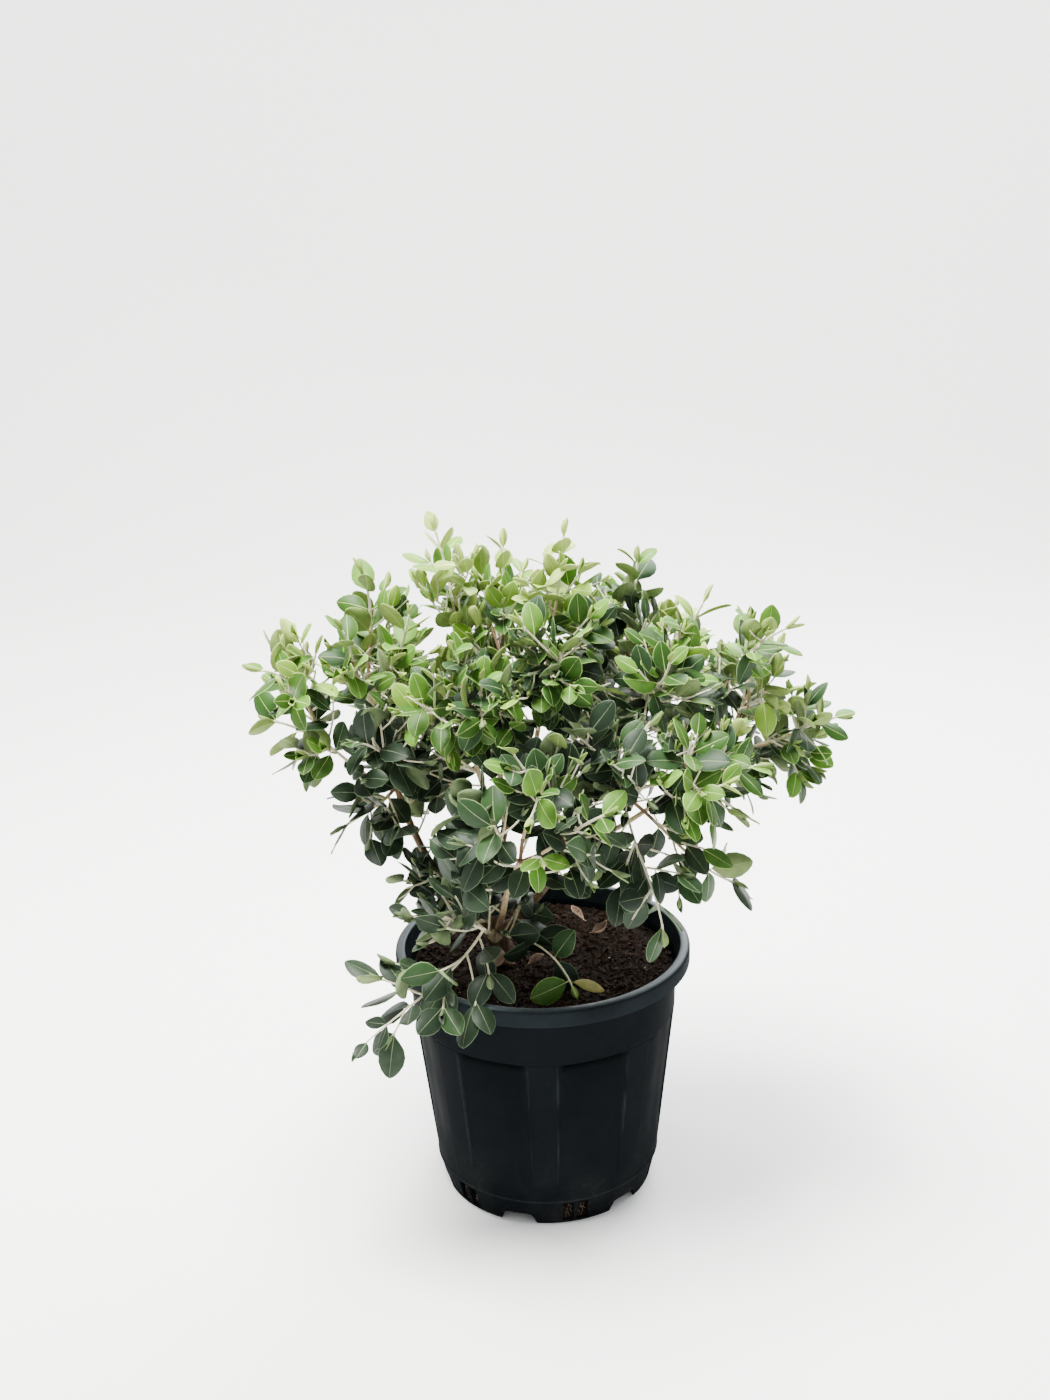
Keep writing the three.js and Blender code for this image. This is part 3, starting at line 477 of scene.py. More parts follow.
def scatter_tree(name):
    """Loose pieces strewn on a surface: blocks, each turned, sized and roughened at random."""
    tree = bpy.data.node_groups.new(name, "GeometryNodeTree")
    face = tree.interface
    face.new_socket("Geometry", in_out="INPUT", socket_type="NodeSocketGeometry")
    for label, kind in (("Pieces per square metre", "NodeSocketFloat"), ("Least size", "NodeSocketFloat"),
                        ("Most size", "NodeSocketFloat"), ("Shape", "NodeSocketVector"),
                        ("Seed", "NodeSocketInt"), ("Material", "NodeSocketMaterial")):
        face.new_socket(label, in_out="INPUT", socket_type=kind)
    face.new_socket("Geometry", in_out="OUTPUT", socket_type="NodeSocketGeometry")
    given = add_node(tree, "NodeGroupInput").outputs
    facing = add_node(tree, "ShaderNodeSeparateXYZ", {"Vector": add_node(tree, "GeometryNodeInputNormal")})
    place = add_node(tree, "GeometryNodeInputPosition")
    spot = add_node(tree, "ShaderNodeSeparateXYZ", {"Vector": place})
    flat = add_node(tree, "ShaderNodeVectorMath", {0: place, 1: (1, 1, 0)}, operation="MULTIPLY")
    from_middle = add_node(tree, "ShaderNodeVectorMath", {0: flat}, operation="LENGTH")
    high = add_node(tree, "FunctionNodeCompare", {"A": spot.outputs["Z"], "B": STREWN_ABOVE * MM},
                    operation="GREATER_THAN")
    well_in = add_node(tree, "FunctionNodeCompare", {"A": from_middle, "B": STREWN_WITHIN * MM},
                       operation="LESS_THAN")
    level_top = add_node(tree, "FunctionNodeCompare", {"A": facing.outputs["Z"], "B": 0.2},
                         operation="GREATER_THAN")
    facing_up = add_node(tree, "FunctionNodeBooleanMath", {0: high, 1: level_top}, operation="AND")
    top = add_node(tree, "FunctionNodeBooleanMath", {0: facing_up, 1: well_in}, operation="AND")
    strewn = add_node(tree, "GeometryNodeDistributePointsOnFaces",
                      {"Mesh": given["Geometry"], "Selection": top,
                       "Density": given["Pieces per square metre"], "Seed": given["Seed"]})
    block = add_node(tree, "GeometryNodeMeshCube", {"Size": (1, 1, 1)})
    sized = add_node(tree, "FunctionNodeRandomValue",
                     {2: given["Least size"], 3: given["Most size"], "Seed": given["Seed"]},
                     data_type="FLOAT")
    scaled = add_node(tree, "ShaderNodeVectorMath", {0: given["Shape"], "Scale": sized}, operation="SCALE")
    turned = add_node(tree, "FunctionNodeRandomValue",
                      {0: (-0.5, -0.5, 0.0), 1: (0.5, 0.5, 6.28), "Seed": given["Seed"]},
                      data_type="FLOAT_VECTOR")
    placed = add_node(tree, "GeometryNodeInstanceOnPoints",
                      {"Points": strewn, "Instance": block, "Rotation": turned, "Scale": scaled})
    real = add_node(tree, "GeometryNodeRealizeInstances", {"Geometry": placed})
    rough = add_node(tree, "ShaderNodeTexNoise", {"Scale": 1 / 0.0021, "Detail": 1.0})
    centred = add_node(tree, "ShaderNodeVectorMath", {0: rough.outputs["Color"], 1: (0.5, 0.5, 0.5)},
                       operation="SUBTRACT")
    nudge = add_node(tree, "ShaderNodeVectorMath", {0: centred, "Scale": 0.0055}, operation="SCALE")
    shaken = add_node(tree, "GeometryNodeSetPosition", {"Geometry": real, "Offset": nudge})
    coloured = add_node(tree, "GeometryNodeSetMaterial", {"Geometry": shaken, "Material": given["Material"]})
    add_node(tree, "NodeGroupOutput", {"Geometry": coloured})
    return tree


def strew(name, surface, tree, values):
    """A new piece of loose bits lying on a surface."""
    holder = bpy.data.objects.new(name, surface.data.copy())
    bpy.context.scene.collection.objects.link(holder)
    growth = holder.modifiers.new(name, "NODES")
    growth.node_group = tree
    for socket in tree.interface.items_tree:
        if socket.in_out == "INPUT" and socket.name in values:
            growth[socket.identifier] = values[socket.name]
    return plain_mesh(holder, name)


mix_points, mix_faces = potting_mix_shape()
damp_mix = composted_bark("damp_composted_bark", "#080502", "#281a10", 3.2)
mix = mesh_object("potting_mix", mix_points, mix_faces, [damp_mix])
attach(mix, "root")
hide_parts("soil")
loose_tree = scatter_tree("loose_bits")
coarse_bark = composted_bark("coarse_bark_chips", "#0d0805", "#39261a", 6.0)
fine_bark = composted_bark("fine_bark_crumbs", "#0a0704", "#463120", 2.0)
perlite = composted_bark("white_perlite", "#8d857a", "#cfc8bd", 2.0, rough=0.8)
for name, per_square_metre, least, most, shape, material in (
    ("bark_chips", 15000, 0.004, 0.010, (1.0, 0.6, 0.32), coarse_bark),
    ("bark_crumbs", 62000, 0.0016, 0.0036, (1.0, 0.8, 0.7), fine_bark),
    ("perlite_grains", 900, 0.0008, 0.0018, (1.0, 0.85, 0.8), perlite),
):
    bits = strew(name, mix, loose_tree, {
        "Pieces per square metre": float(per_square_metre), "Least size": least, "Most size": most,
        "Shape": shape, "Seed": MIX_SEED + len(name), "Material": material,
    })
    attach(bits, "root")
    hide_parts("soil")


# The shrub forks into many stems just above the mix. Its trunk is a short leaning stub with a lobed flare,
# and each bough is one tapering limb that starts at the fork or at another bough's tip.
GAP = 0.3
TRUNK = {"foot": (-44, 0, SOIL_TOP + GAP), "head": (-52, -2, 299), "flare": 20, "waist": 11.5,
         "knuckle": 12.5, "lobes": 5, "lobe_depth": 0.2, "sides": 30, "top_height": 7, "top_radius": 8.0}
KNUCKLE = 1.6
ROOT_ROOM = 1
STEM_RADIUS = 2
STEM_BACK = 0.45
BOUGH_HANDLE = 0.3
BOUGH_RINGS = {"step": 5, "fewest": 8, "sides": 12}
FORK = {"swelling": 0.35, "length": 5, "past": 2.2}
BARK_VOXEL = 1.05
BARK_GRAIN = {"across": 2.6, "height": 9, "along": 17, "sharp": 3.2}
GROOVES = {"share": 0.1, "least": 0.16, "most": 1.1}
UP = np.array((0.0, 0.0, 1.0))
BOUGHS = [
    # name, limb that it grows from, tip, bulge of its middle, radius at its root and at its tip
    ("bough_left_lower", "trunk", (-155, 10, 474), (-26, 0, -14), (5.0, 3.9)),
    ("bough_left_upper", "bough_left_lower", (-181, 20, 578), (-3, 0, 0), (3.6, 2.6)),
    ("bough_left_arm", "bough_left_lower", (-226, -30, 540), (-6, 0, 4), (2.4, 1.9)),
    ("bough_centre_main", "trunk", (-36, 8, 430), (-8, 6, 0), (5.4, 4.4)),
    ("bough_centre_left", "bough_centre_main", (-78, -20, 574), (-8, -4, 0), (3.4, 2.4)),
    ("bough_centre", "bough_centre_main", (-36, 34, 612), (2, 8, 0), (3.4, 2.4)),
    ("bough_centre_right", "bough_centre_main", (14, 6, 618), (8, -4, 0), (3.4, 2.4)),
    ("bough_right_main", "trunk", (34, 2, 402), (8, 0, -10), (5.2, 4.3)),
    ("bough_right_lower", "bough_right_main", (92, -60, 481), (4, -6, -6), (3.4, 2.7)),
    ("bough_right_front", "bough_right_lower", (158, -90, 514), (0, 0, -4), (2.4, 1.9)),
    ("bough_right_upper", "bough_right_main", (112, 24, 574), (12, 6, -10), (3.6, 2.4)),
    ("bough_right_far", "bough_right_main", (212, 34, 508), (8, 4, -16), (3.4, 2.2)),
    ("bough_front", "trunk", (-20, -150, 450), (-14, -26, 6), (4.0, 2.8)),
    ("bough_front_left", "trunk", (-62, -98, 350), (-2, -10, 8), (2.8, 2.1)),
    ("bough_back_left", "trunk", (-116, 122, 496), (-6, 26, -16), (4.2, 2.7)),
    ("bough_back_right", "bough_right_main", (92, 136, 512), (2, 18, -14), (3.4, 2.5)),
]
MASSES = [
    # name, limb that it grows from, furthest leaf tip, way its end points, what differs, how young it looks,
    # which also paints light and shade on its leaves
    ("leaves_left_peak", "bough_left_upper", (-187, 40, 720), (-0.35, 0.05, 1), {"reach": 62}, 0.71),
    ("leaves_left_crown", "bough_left_upper", (-126, -10, 688), (0.25, -0.1, 1), {"reach": 70}, 0.71),
    ("leaves_left_shoulder", "bough_left_upper", (-204, -34, 678), (-0.35, -0.2, 1), {}, 0.68),
    ("leaves_left_tip", "bough_left_arm", (-297, -60, 631), (-1, -0.2, 0.12), {"shoots": 5}, 0.57),
    ("leaves_left_low", "bough_left_arm", (-298, 4, 556), (-1, 0.2, 0.1), {}, 0.25),
    ("leaves_left_dark", "bough_left_lower", (-196, -108, 566), (-0.7, -0.8, 0.3), {}, 0.22),
    ("leaves_left_hang", "bough_left_lower", (-221, -40, 441), (-0.9, -0.1, -0.5), {}, 0.25),
    ("leaves_left_inner", "bough_left_lower", (-112, 66, 560), (0.5, 0.4, 0.8), {}, 0.2),
    ("leaves_top_left", "bough_centre_left", (-107, 40, 767), (-0.3, 0.1, 1),
     {"reach": 66, "shoots": 4}, 0.72),
    ("leaves_mid_left", "bough_centre_left", (-129, -124, 622), (-0.5, -0.7, 0.7), {}, 0.66),
    ("leaves_mid_front", "bough_centre_left", (-52, -116, 640), (0.1, -0.5, 1), {}, 0.5),
    ("leaves_top_middle", "bough_centre", (-30, 40, 746), (0.05, 0.1, 1), {"reach": 66}, 0.72),
    ("leaves_top_back", "bough_centre", (-60, 120, 716), (-0.1, 0.5, 1), {}, 0.6),
    ("leaves_top_centre", "bough_centre_right", (35, 18, 761), (0.1, 0, 1), {"shoots": 4, "reach": 70}, 0.9),
    ("leaves_centre_front", "bough_centre_right", (25, -104, 668), (0, -0.5, 1), {}, 0.55),
    ("leaves_top_right", "bough_right_upper", (113, 50, 724), (0.05, 0.1, 1), {"reach": 66}, 0.32),
    ("leaves_right_crown", "bough_right_upper", (160, 70, 668), (0.3, 0.3, 1), {}, 0.74),
    ("leaves_right_shoulder", "bough_right_upper", (186, 4, 688), (0.5, 0, 1), {}, 0.7),
    ("leaves_right_face", "bough_right_upper", (136, -104, 652), (0.1, -0.6, 1), {}, 0.5),
    ("leaves_right_high", "bough_right_far", (229, 10, 664), (0.1, 0, 1), {}, 0.66),
    ("leaves_right_wing", "bough_right_far", (277, -20, 655), (1, -0.2, 0.5), {"reach": 66}, 0.43),
    ("leaves_right_mid", "bough_right_far", (282, 66, 592), (1, 0.3, 0.4), {}, 0.38),
    ("leaves_right_tip", "bough_right_far", (341, 10, 541), (1, -0.1, 0.15), {"shoots": 4}, 0.42),
    ("leaves_right_hang", "bough_right_lower", (125, -150, 353), (0.12, -0.2, -1), {"reach": 60}, 0.43),
    ("leaves_right_droop", "bough_right_lower", (217, -88, 387), (1, 0, -0.4), {}, 0.62),
    ("leaves_centre_pale", "bough_right_lower", (82, -150, 577), (0, -0.5, 0.6), {}, 0.44),
    ("leaves_right_front", "bough_right_front", (233, -120, 534), (1, -0.2, 0.1), {}, 0.6),
    ("leaves_right_under", "bough_right_front", (214, -90, 468), (0.8, 0, -0.6), {}, 0.38),
    ("leaves_right_flank", "bough_right_front", (150, -164, 590), (0, -0.5, 0.9), {}, 0.6),
    ("leaves_front_big", "bough_front", (-48, -212, 512), (-0.2, -1, 0.3), {}, 0.19),
    ("leaves_front_lime", "bough_front", (4, -216, 474), (0.2, -1, 0), {}, 0.68),
    ("leaves_front_upper", "bough_front", (14, -182, 566), (0.3, -0.3, 1), {}, 0.4),
    ("leaves_front_right", "bough_front", (76, -200, 522), (0.9, -0.5, 0.5), {"reach": 62}, 0.5),
    ("leaves_sprawl_upper", "bough_front_left", (-153, -112, 379), (-1, -0.1, 0.3), {"reach": 62}, 0.25),
    ("leaves_sprawl_lower", "bough_front_left", (-195, -200, 264), (-0.7, -0.6, -0.4), {}, 0.25),
    ("leaves_low_left", "trunk", (-128, -62, 408), (-0.6, -0.5, 0.5), {"reach": 66}, 0.2),
    ("leaves_soil_sprig", "trunk", (32, -112, 283), (0.3, -0.5, -0.6), {"reach": 50}, 0.54),
    ("leaves_back_left", "bough_back_left", (-214, 150, 588), (-0.8, 0.3, 0.6), {}, 0.4),
    ("leaves_back_middle", "bough_back_left", (-64, 222, 566), (0.1, 0.8, 0.6), {}, 0.4),
    ("leaves_back_right", "bough_back_right", (196, 170, 592), (0.8, 0.4, 0.6), {}, 0.4),
    ("leaves_back_top", "bough_back_right", (62, 190, 652), (0, 0.4, 1), {}, 0.5),
]


def blend(low, high, share):
    return low + (high - low) * share


def unit(way):
    return way / np.linalg.norm(way)


class Growth:
    """The curve that a limb or twig grows along, read by its length."""

    def __init__(self, *controls):
        self.controls = [np.array(control, float) for control in controls]
        self.shares = np.linspace(0, 1, 201)
        dense = self.point(self.shares)
        steps = np.linalg.norm(np.diff(dense, axis=0), axis=1)
        self.lengths = np.concatenate(([0.0], np.cumsum(steps)))
        self.length = self.lengths[-1]

    def point(self, share):
        share = np.atleast_1d(share)[:, None]
        layer = [np.broadcast_to(control, (len(share), 3)) for control in self.controls]
        while len(layer) > 1:
            layer = [a * (1 - share) + b * share for a, b in zip(layer, layer[1:])]
        return layer[0]

    def at(self, along):
        share = np.interp(np.atleast_1d(along) * self.length, self.lengths, self.shares)
        return self.point(share)

    def tangent(self, along):
        share = np.interp(along * self.length, self.lengths, self.shares)
        near, far = max(0.0, share - 1e-4), min(1.0, share + 1e-4)
        return unit(self.point(far)[0] - self.point(near)[0])


GOLD = (1 + math.sqrt(5)) / 2
KNUCKLE_CORNERS = np.array([
    corner for a in (-1, 1) for b in (-GOLD, GOLD) for corner in ((a, b, 0), (0, a, b), (b, 0, a))
]) / math.hypot(1, GOLD)


def knuckle_reach(way, radius):
    """How far a knuckle's corners reach in a direction."""
    return radius * float(np.max(KNUCKLE_CORNERS @ way))


def angle_between(a, b):
    return math.acos(max(-1.0, min(1.0, float(np.dot(a, b)))))


def spread_roots(roots, carrier):
    """Roots on one knuckle are pushed apart until each has room, and kept off the limb that carries it."""
    back = {"way": -carrier["curve"].tangent(1.0), "radius": 1.1 * carrier["radii"][1]}
    for _ in range(80):
        for root in roots:
            for other in [*roots, back]:
                if other is root:
                    continue
                width = root["radius"] + other["radius"] + ROOT_ROOM
                room = 2 * math.asin(min(1, width / (2 * carrier["size"])))
                angle = angle_between(root["way"], other["way"])
                if angle >= room:
                    continue
                push = unit(root["way"] - math.cos(angle) * other["way"])
                root["way"] = unit(root["way"] + 0.5 * (room - angle) * push)


def root_ways(carrier):
    """The direction in which each bough and stem leaves this limb's tip."""
    roots = []
    for name, origin, tip, bulge, radii in BOUGHS:
        if origin == carrier["name"]:
            target = np.array(tip, float) + 2 * np.array(bulge, float)
            roots.append({"name": name, "radius": radii[0], "way": unit(target - carrier["head"])})
    for name, origin, tip, aim, _, _ in MASSES:
        if origin == carrier["name"]:
            target = np.array(tip, float)
            far = np.linalg.norm(target - carrier["head"])
            target = target - STEM_BACK * far * unit(np.array(aim, float))
            roots.append({"name": name, "radius": STEM_RADIUS, "way": unit(target - carrier["head"])})
    spread_roots(roots, carrier)
    return {root["name"]: root["way"] for root in roots}


def grow_bough(row, carrier, way):
    """One bough, from the knuckle of the limb that carries it to its own tip."""
    name, _, tip, bulge, radii = row
    head = np.array(tip, float)
    root = carrier["head"] + way * (knuckle_reach(way, carrier["size"]) + GAP)
    handle = BOUGH_HANDLE * np.linalg.norm(head - root)
    middle = (root + head) / 2 + np.array(bulge, float)
    arriving = head - handle * unit(head - middle)
    curve = Growth(root, root + way * handle, arriving, head)
    return {"name": name, "curve": curve, "radii": radii, "head": head, "size": KNUCKLE * radii[1],
            "start": carrier["head"]}


def grow_limbs():
    """The trunk and its boughs, and the direction in which each bough and stem starts."""
    head = np.array(TRUNK["head"], float)
    foot = np.array(TRUNK["foot"], float)
    curve = Growth(foot, foot + 12 * UP, head)
    trunk = {"name": "trunk", "curve": curve, "radii": (TRUNK["flare"], TRUNK["waist"]), "head": head,
             "size": TRUNK["knuckle"], "start": foot}
    grown = {"trunk": trunk}
    ways = root_ways(trunk)
    for row in BOUGHS:
        limb = grow_bough(row, grown[row[1]], ways[row[0]])
        grown[limb["name"]] = limb
        ways.update(root_ways(limb))
    return grown, ways


def tube(path, radii, sides):
    """Points and faces of a limb: rings strung along a path, each with its own radius or outline."""
    path = np.asarray(path, float)
    ahead = np.gradient(path, axis=0)
    ahead /= np.linalg.norm(ahead, axis=1)[:, None]
    across = unit(np.cross(ahead[0], (0.31, 0.73, 0.61)))
    turns = 2 * math.pi * np.arange(sides) / sides
    points = []
    for centre, way, radius in zip(path, ahead, radii):
        across = unit(across - way * np.dot(across, way))
        third = np.cross(way, across)
        ring = np.outer(np.cos(turns), across) + np.outer(np.sin(turns), third)
        reach = radius(turns) if callable(radius) else radius
        points.append(centre + ring * np.reshape(reach, (-1, 1)))
    return np.concatenate([*points, path[:1], path[-1:]]), ring_faces(len(path), sides)


def joined(parts):
    """Several (points, faces) as one."""
    points = []
    faces = []
    count = 0
    for some_points, some_faces in parts:
        points.append(some_points)
        faces += [tuple(i + count for i in face) for face in some_faces]
        count += len(some_points)
    return np.concatenate(points), faces


def limb_solid(limb):
    """A limb's own wood, started inside the one that carries it, with a swelling where it forks."""
    curve = limb["curve"]
    rings = max(BOUGH_RINGS["fewest"], int(curve.length / BOUGH_RINGS["step"]))
    along = np.linspace(0, 1, rings)
    path = curve.at(along)
    thick, thin = limb["radii"]
    if limb["name"] == "trunk":
        radii = []
        for share in along:
            flare = (1 - share) ** 3
            girth = blend(TRUNK["waist"], TRUNK["flare"], flare)
            lobe = TRUNK["lobe_depth"] * flare
            radii.append(lambda turns, g=girth, lobe=lobe: g * (1 + lobe * np.cos(TRUNK["lobes"] * turns)))
        path = np.concatenate([path, [limb["head"] + (0, 0, TRUNK["top_height"])]])
        radii.append(TRUNK["top_radius"])
        return tube(path, radii, TRUNK["sides"])
    swell = FORK["swelling"] * thin * np.exp(-((1 - along) * curve.length / FORK["length"]) ** 2)
    radii = list(blend(thick, thin, along) + swell)
    path = np.concatenate([[limb["start"]], path, [limb["head"] + FORK["past"] * curve.tangent(1.0)]])
    return tube(path, [thick * 0.9] + radii + [thin * 0.8], BOUGH_RINGS["sides"])


def young_bark():
    """Bark of a young stem: thin and matte, red-brown with grey flaking strips, paler on thin limbs."""
    bark, tree, shader = new_material("flaking_young_bark")
    place = add_node(tree, "ShaderNodeTexCoord").outputs["Object"]
    girth = add_node(tree, "ShaderNodeAttribute", attribute_name="girth")
    groove = add_node(tree, "ShaderNodeAttribute", attribute_name="groove")
    cloudy = add_node(tree, "ShaderNodeTexNoise", {"Vector": place, "Scale": 1 / 0.012, "Detail": 6.0,
                                                   "Roughness": 0.65})
    ramp = add_node(tree, "ShaderNodeValToRGB", {"Fac": girth.outputs["Fac"]})
    stops = ramp.color_ramp.elements
    stops[0].color = linear("#d6cca8")
    stops[1].color = linear("#46321f")
    for position, colour in ((0.12, "#bba680"), (0.34, "#6d533c")):
        stops.new(position).color = linear(colour)
    grey = add_node(tree, "ShaderNodeMapRange", {"Value": cloudy, "From Min": 0.46, "From Max": 0.66,
                                                 "To Min": 0.0, "To Max": 0.5})
    flaking = add_node(tree, "ShaderNodeMix", {"Factor": grey, "A": ramp, "B": linear("#7f7467")},
                       data_type="RGBA")
    cracked = add_node(tree, "ShaderNodeMix", {"Factor": groove.outputs["Fac"], "A": flaking,
                                               "B": linear("#2b1d15")}, data_type="RGBA")
    relief = add_node(tree, "ShaderNodeBump", {"Height": cloudy, "Strength": 0.5, "Distance": 0.0006})
    wire(tree, shader, {"Base Color": cracked, "Normal": relief, "Roughness": 0.86,
                        "Specular IOR Level": 0.3})
    return bark


def segment_distances(points, starts, ends):
    """Distance from each point to each segment, and how far along the segment that is."""
    reach = ends - starts
    from_start = points[:, None, :] - starts[None]
    share = np.clip(np.einsum("psk,sk->ps", from_start, reach) / np.einsum("sk,sk->s", reach, reach), 0, 1)
    return np.linalg.norm(from_start - share[..., None] * reach[None], axis=2), share


def carve_bark(wood, grown):
    """Pushes the wood's surface in along its grain, and keeps how thick and how grooved it is there."""
    mesh = wood.data
    count = len(mesh.vertices)
    places = np.empty(count * 3)
    normals = np.empty(count * 3)
    mesh.vertices.foreach_get("co", places)
    mesh.vertex_normals.foreach_get("vector", normals)
    places = places.reshape(-1, 3) / MM
    normals = normals.reshape(-1, 3)
    steps = 12
    starts, ends, before, thick = [], [], [], []
    for limb in grown.values():
        path = limb["curve"].at(np.linspace(0, 1, steps + 1))
        starts.append(path[:-1])
        ends.append(path[1:])
        before.append(limb["curve"].length * np.arange(steps) / steps)
        thick.append(np.interp(np.arange(steps) / steps, (0, 1), limb["radii"]))
    starts, ends = np.concatenate(starts), np.concatenate(ends)
    before, thick = np.concatenate(before), np.concatenate(thick)
    distances, shares = segment_distances(places, starts, ends)
    nearest = np.argmin(distances, axis=1)
    share = shares[np.arange(count), nearest]
    reach = ends - starts
    along = before[nearest] + share * np.linalg.norm(reach, axis=1)[nearest]
    out = places - (starts[nearest] + share[:, None] * reach[nearest])
    grooves = np.empty(count)
    for i in range(count):
        limb_id = nearest[i] // steps
        height = out[i, 2] / BARK_GRAIN["height"] + along[i] / BARK_GRAIN["along"] + limb_id
        spot = Vector((out[i, 0] / BARK_GRAIN["across"], out[i, 1] / BARK_GRAIN["across"], height))
        grooves[i] = 1 - abs(noise.noise(spot)) * BARK_GRAIN["sharp"]
    grooves = np.clip(grooves, 0, 1) ** 2
    depth = np.clip(thick[nearest] * GROOVES["share"], GROOVES["least"], GROOVES["most"])
    places -= normals * (grooves * depth)[:, None]
    mesh.vertices.foreach_set("co", (places * MM).ravel())
    girth = np.clip((thick[nearest] - 2.2) / 6, 0, 1)
    for name, values in (("girth", girth), ("groove", grooves * np.clip(thick[nearest] / 6, 0.25, 0.8))):
        mesh.attributes.new(name, "FLOAT", "POINT").data.foreach_set("value", values)
    mesh.update()


limbs, root_way = grow_limbs()
wood_points, wood_faces = joined([limb_solid(limb) for limb in limbs.values()])
wood = mesh_object("trunk_and_boughs", wood_points, wood_faces, [])
remesh = wood.modifiers.new("one_skin", "REMESH")
remesh.mode = "VOXEL"
remesh.voxel_size = BARK_VOXEL * MM
soften = wood.modifiers.new("soften", "SMOOTH")
soften.factor = 0.5
soften.iterations = 3
plain_mesh(wood, "trunk_and_boughs")
wood.data.materials.append(young_bark())
wood.data.polygons.foreach_set("use_smooth", [True] * len(wood.data.polygons))
carve_bark(wood, limbs)
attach(wood, "root")
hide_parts(*limbs)


# Each drain slot is filled from behind by one rough lump of damp mix set back from the wall's face: a dark
# block that stands in for the shade inside the slot, so the slots look dark and matted, not empty.
# Thread-like roots lie across each lump, as dull as the mix and paler.
SLOT_LUMP = {"inner": 110, "face": 117.6, "low": 4.6, "high": 28.4, "steps": (7, 11)}
SLOT_ROOTS = {"count": 7, "radius": 0.38, "steps": 7, "sides": 4}
SEED = 43


def chance(mass, twig, draw):
    """A number from 0 to 1 that depends only on which mass, which twig and which draw it is."""
    bits = (SEED + mass * 7919 + twig * 104729 + draw * 1299709) & 0xFFFFFFFF
    bits = ((bits ^ (bits >> 15)) * 0x2C1B3C6D) & 0xFFFFFFFF
    bits = ((bits ^ (bits >> 12)) * 0x297A2D39) & 0xFFFFFFFF
    return (bits ^ (bits >> 15)) / 2 ** 32


def round_pot(points, turn):
    """Points given as across, outward and height, moved to an angle round the pot."""
    across, outward, height = np.asarray(points, float).T
    angle = math.radians(turn)
    x = across * math.cos(angle) + outward * math.sin(angle)
    y = across * math.sin(angle) - outward * math.cos(angle)
    return np.stack((x, y, height), axis=1)


def slot_lump(middle, turn):
    """A block whose outer face is rough, filling one slot from behind."""
    columns, rows = SLOT_LUMP["steps"]
    points = []
    for depth in ("inner", "face"):
        for height in np.linspace(SLOT_LUMP["low"], SLOT_LUMP["high"], rows):
            for across in np.linspace(-1, 1, columns) * (SLOTS["width"] / 2 + 0.4) + middle:
                lumpy = 2.6 if depth == "face" else 0
                rough = lumpy * noise.noise(Vector((across / 3, turn, height / 3)))
                points.append((across, SLOT_LUMP[depth] + rough, height))
    layer = columns * rows
    faces = []
    for row in range(rows - 1):
        for column in range(columns - 1):
            here = row * columns + column
            square = (here, here + 1, here + columns + 1, here + columns)
            faces.append(tuple(reversed(square)))
            faces.append(tuple(i + layer for i in square))
    edge = [*range(columns), *range(2 * columns - 1, layer, columns)]
    edge += [*range(layer - 2, layer - columns - 1, -1), *range(layer - 2 * columns, 0, -columns)]
    for here, after in zip(edge, edge[1:] + edge[:1]):
        faces.append((here, after, after + layer, here + layer))
    return round_pot(points, turn), faces


def slot_root(middle, turn, slot, root):
    """One thread-like root lying across a slot's lump."""
    draws = [chance(slot, root, 40 + i) for i in range(6)]
    low, high = SLOT_LUMP["low"] + 1, SLOT_LUMP["high"] - 1
    reach = SLOTS["width"] / 2 - 0.6
    start = (middle + blend(-reach, reach, draws[0]), 0, blend(low, high, draws[1]))
    end = (middle + blend(-reach, reach, draws[2]), 0, blend(low, high, draws[3]))
    way = np.linspace(0, 1, SLOT_ROOTS["steps"])
    path = np.outer(1 - way, start) + np.outer(way, end)
    path[:, 0] += 1.6 * np.sin(5 * way + 6 * draws[4])
    path[:, 0] = np.clip(path[:, 0], middle - reach, middle + reach)
    path[:, 1] = SLOT_LUMP["face"] + 0.9 + 0.7 * np.sin(4 * way + 6 * draws[5])
    path[:, 2] += 0.4 * np.sin(9 * way)
    return tube(round_pot(path, turn), [SLOT_ROOTS["radius"]] * len(way), SLOT_ROOTS["sides"])


lump_parts = []
root_parts = []
for slot in range(SLOTS["count"]):
    turn = SLOTS["turn"] + slot * 360 / SLOTS["count"]
    for side in (-1, 1):
        middle = side * (SLOTS["mullion"] + SLOTS["width"]) / 2
        lump_parts.append(slot_lump(middle, turn))
        for root in range(SLOT_ROOTS["count"]):
            root_parts.append(slot_root(middle, turn, slot, root + (20 if side > 0 else 0)))
# The lumps are dark blocks of mix standing in for the shade inside the slots.
lumps = mesh_object("shade_mix_in_slots", *joined(lump_parts), [damp_mix], smooth=False)
fine_root = composted_bark("fine_roots", "#312c25", "#857d6d", 3.0)
slot_roots = mesh_object("roots_in_slots", *joined(root_parts), [fine_root])
for piece in (lumps, slot_roots):
    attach(piece, "root")
    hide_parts("soil")


# Each mass of foliage grows from one stem at a bough's tip. The stem gives off side shoots in turn round it
# and they give off finer ones, and every twig keeps to the space nearest to its own stem.
REACH = 84
CLEAR = 1.2
SAMPLES = 7
SWINGS = (0, 0.5, -0.5, 1, -1)
SPIRAL = 2.4
FULL_TURN = 6.28
SOURCE_LEAF = 46
SOURCE_LEADER = 0.72 * SOURCE_LEAF
OVERGROWN = (4, -15, -27)
OVERGROWN_UPRIGHT = (4, -27, -38)
UPRIGHT = 0.88
OVERGROWN_FULL = 26
OVERGROWN_OPEN = 17
LEAFY_TIP = 14
BOX_SLACK = 3
LEADER = 17
SPRIG_LEADER = 7
SPRIG_DROOP = -0.08
SPRIG_SLACK = 9
STEM_HANDLE = 0.33
SHOOTS = 3
SHOOT_SIZES = (0.75, 1.2)
SHOOT_LENGTH = 52
SHOOT_SPACE = 17.5
FORWARD = 0.62
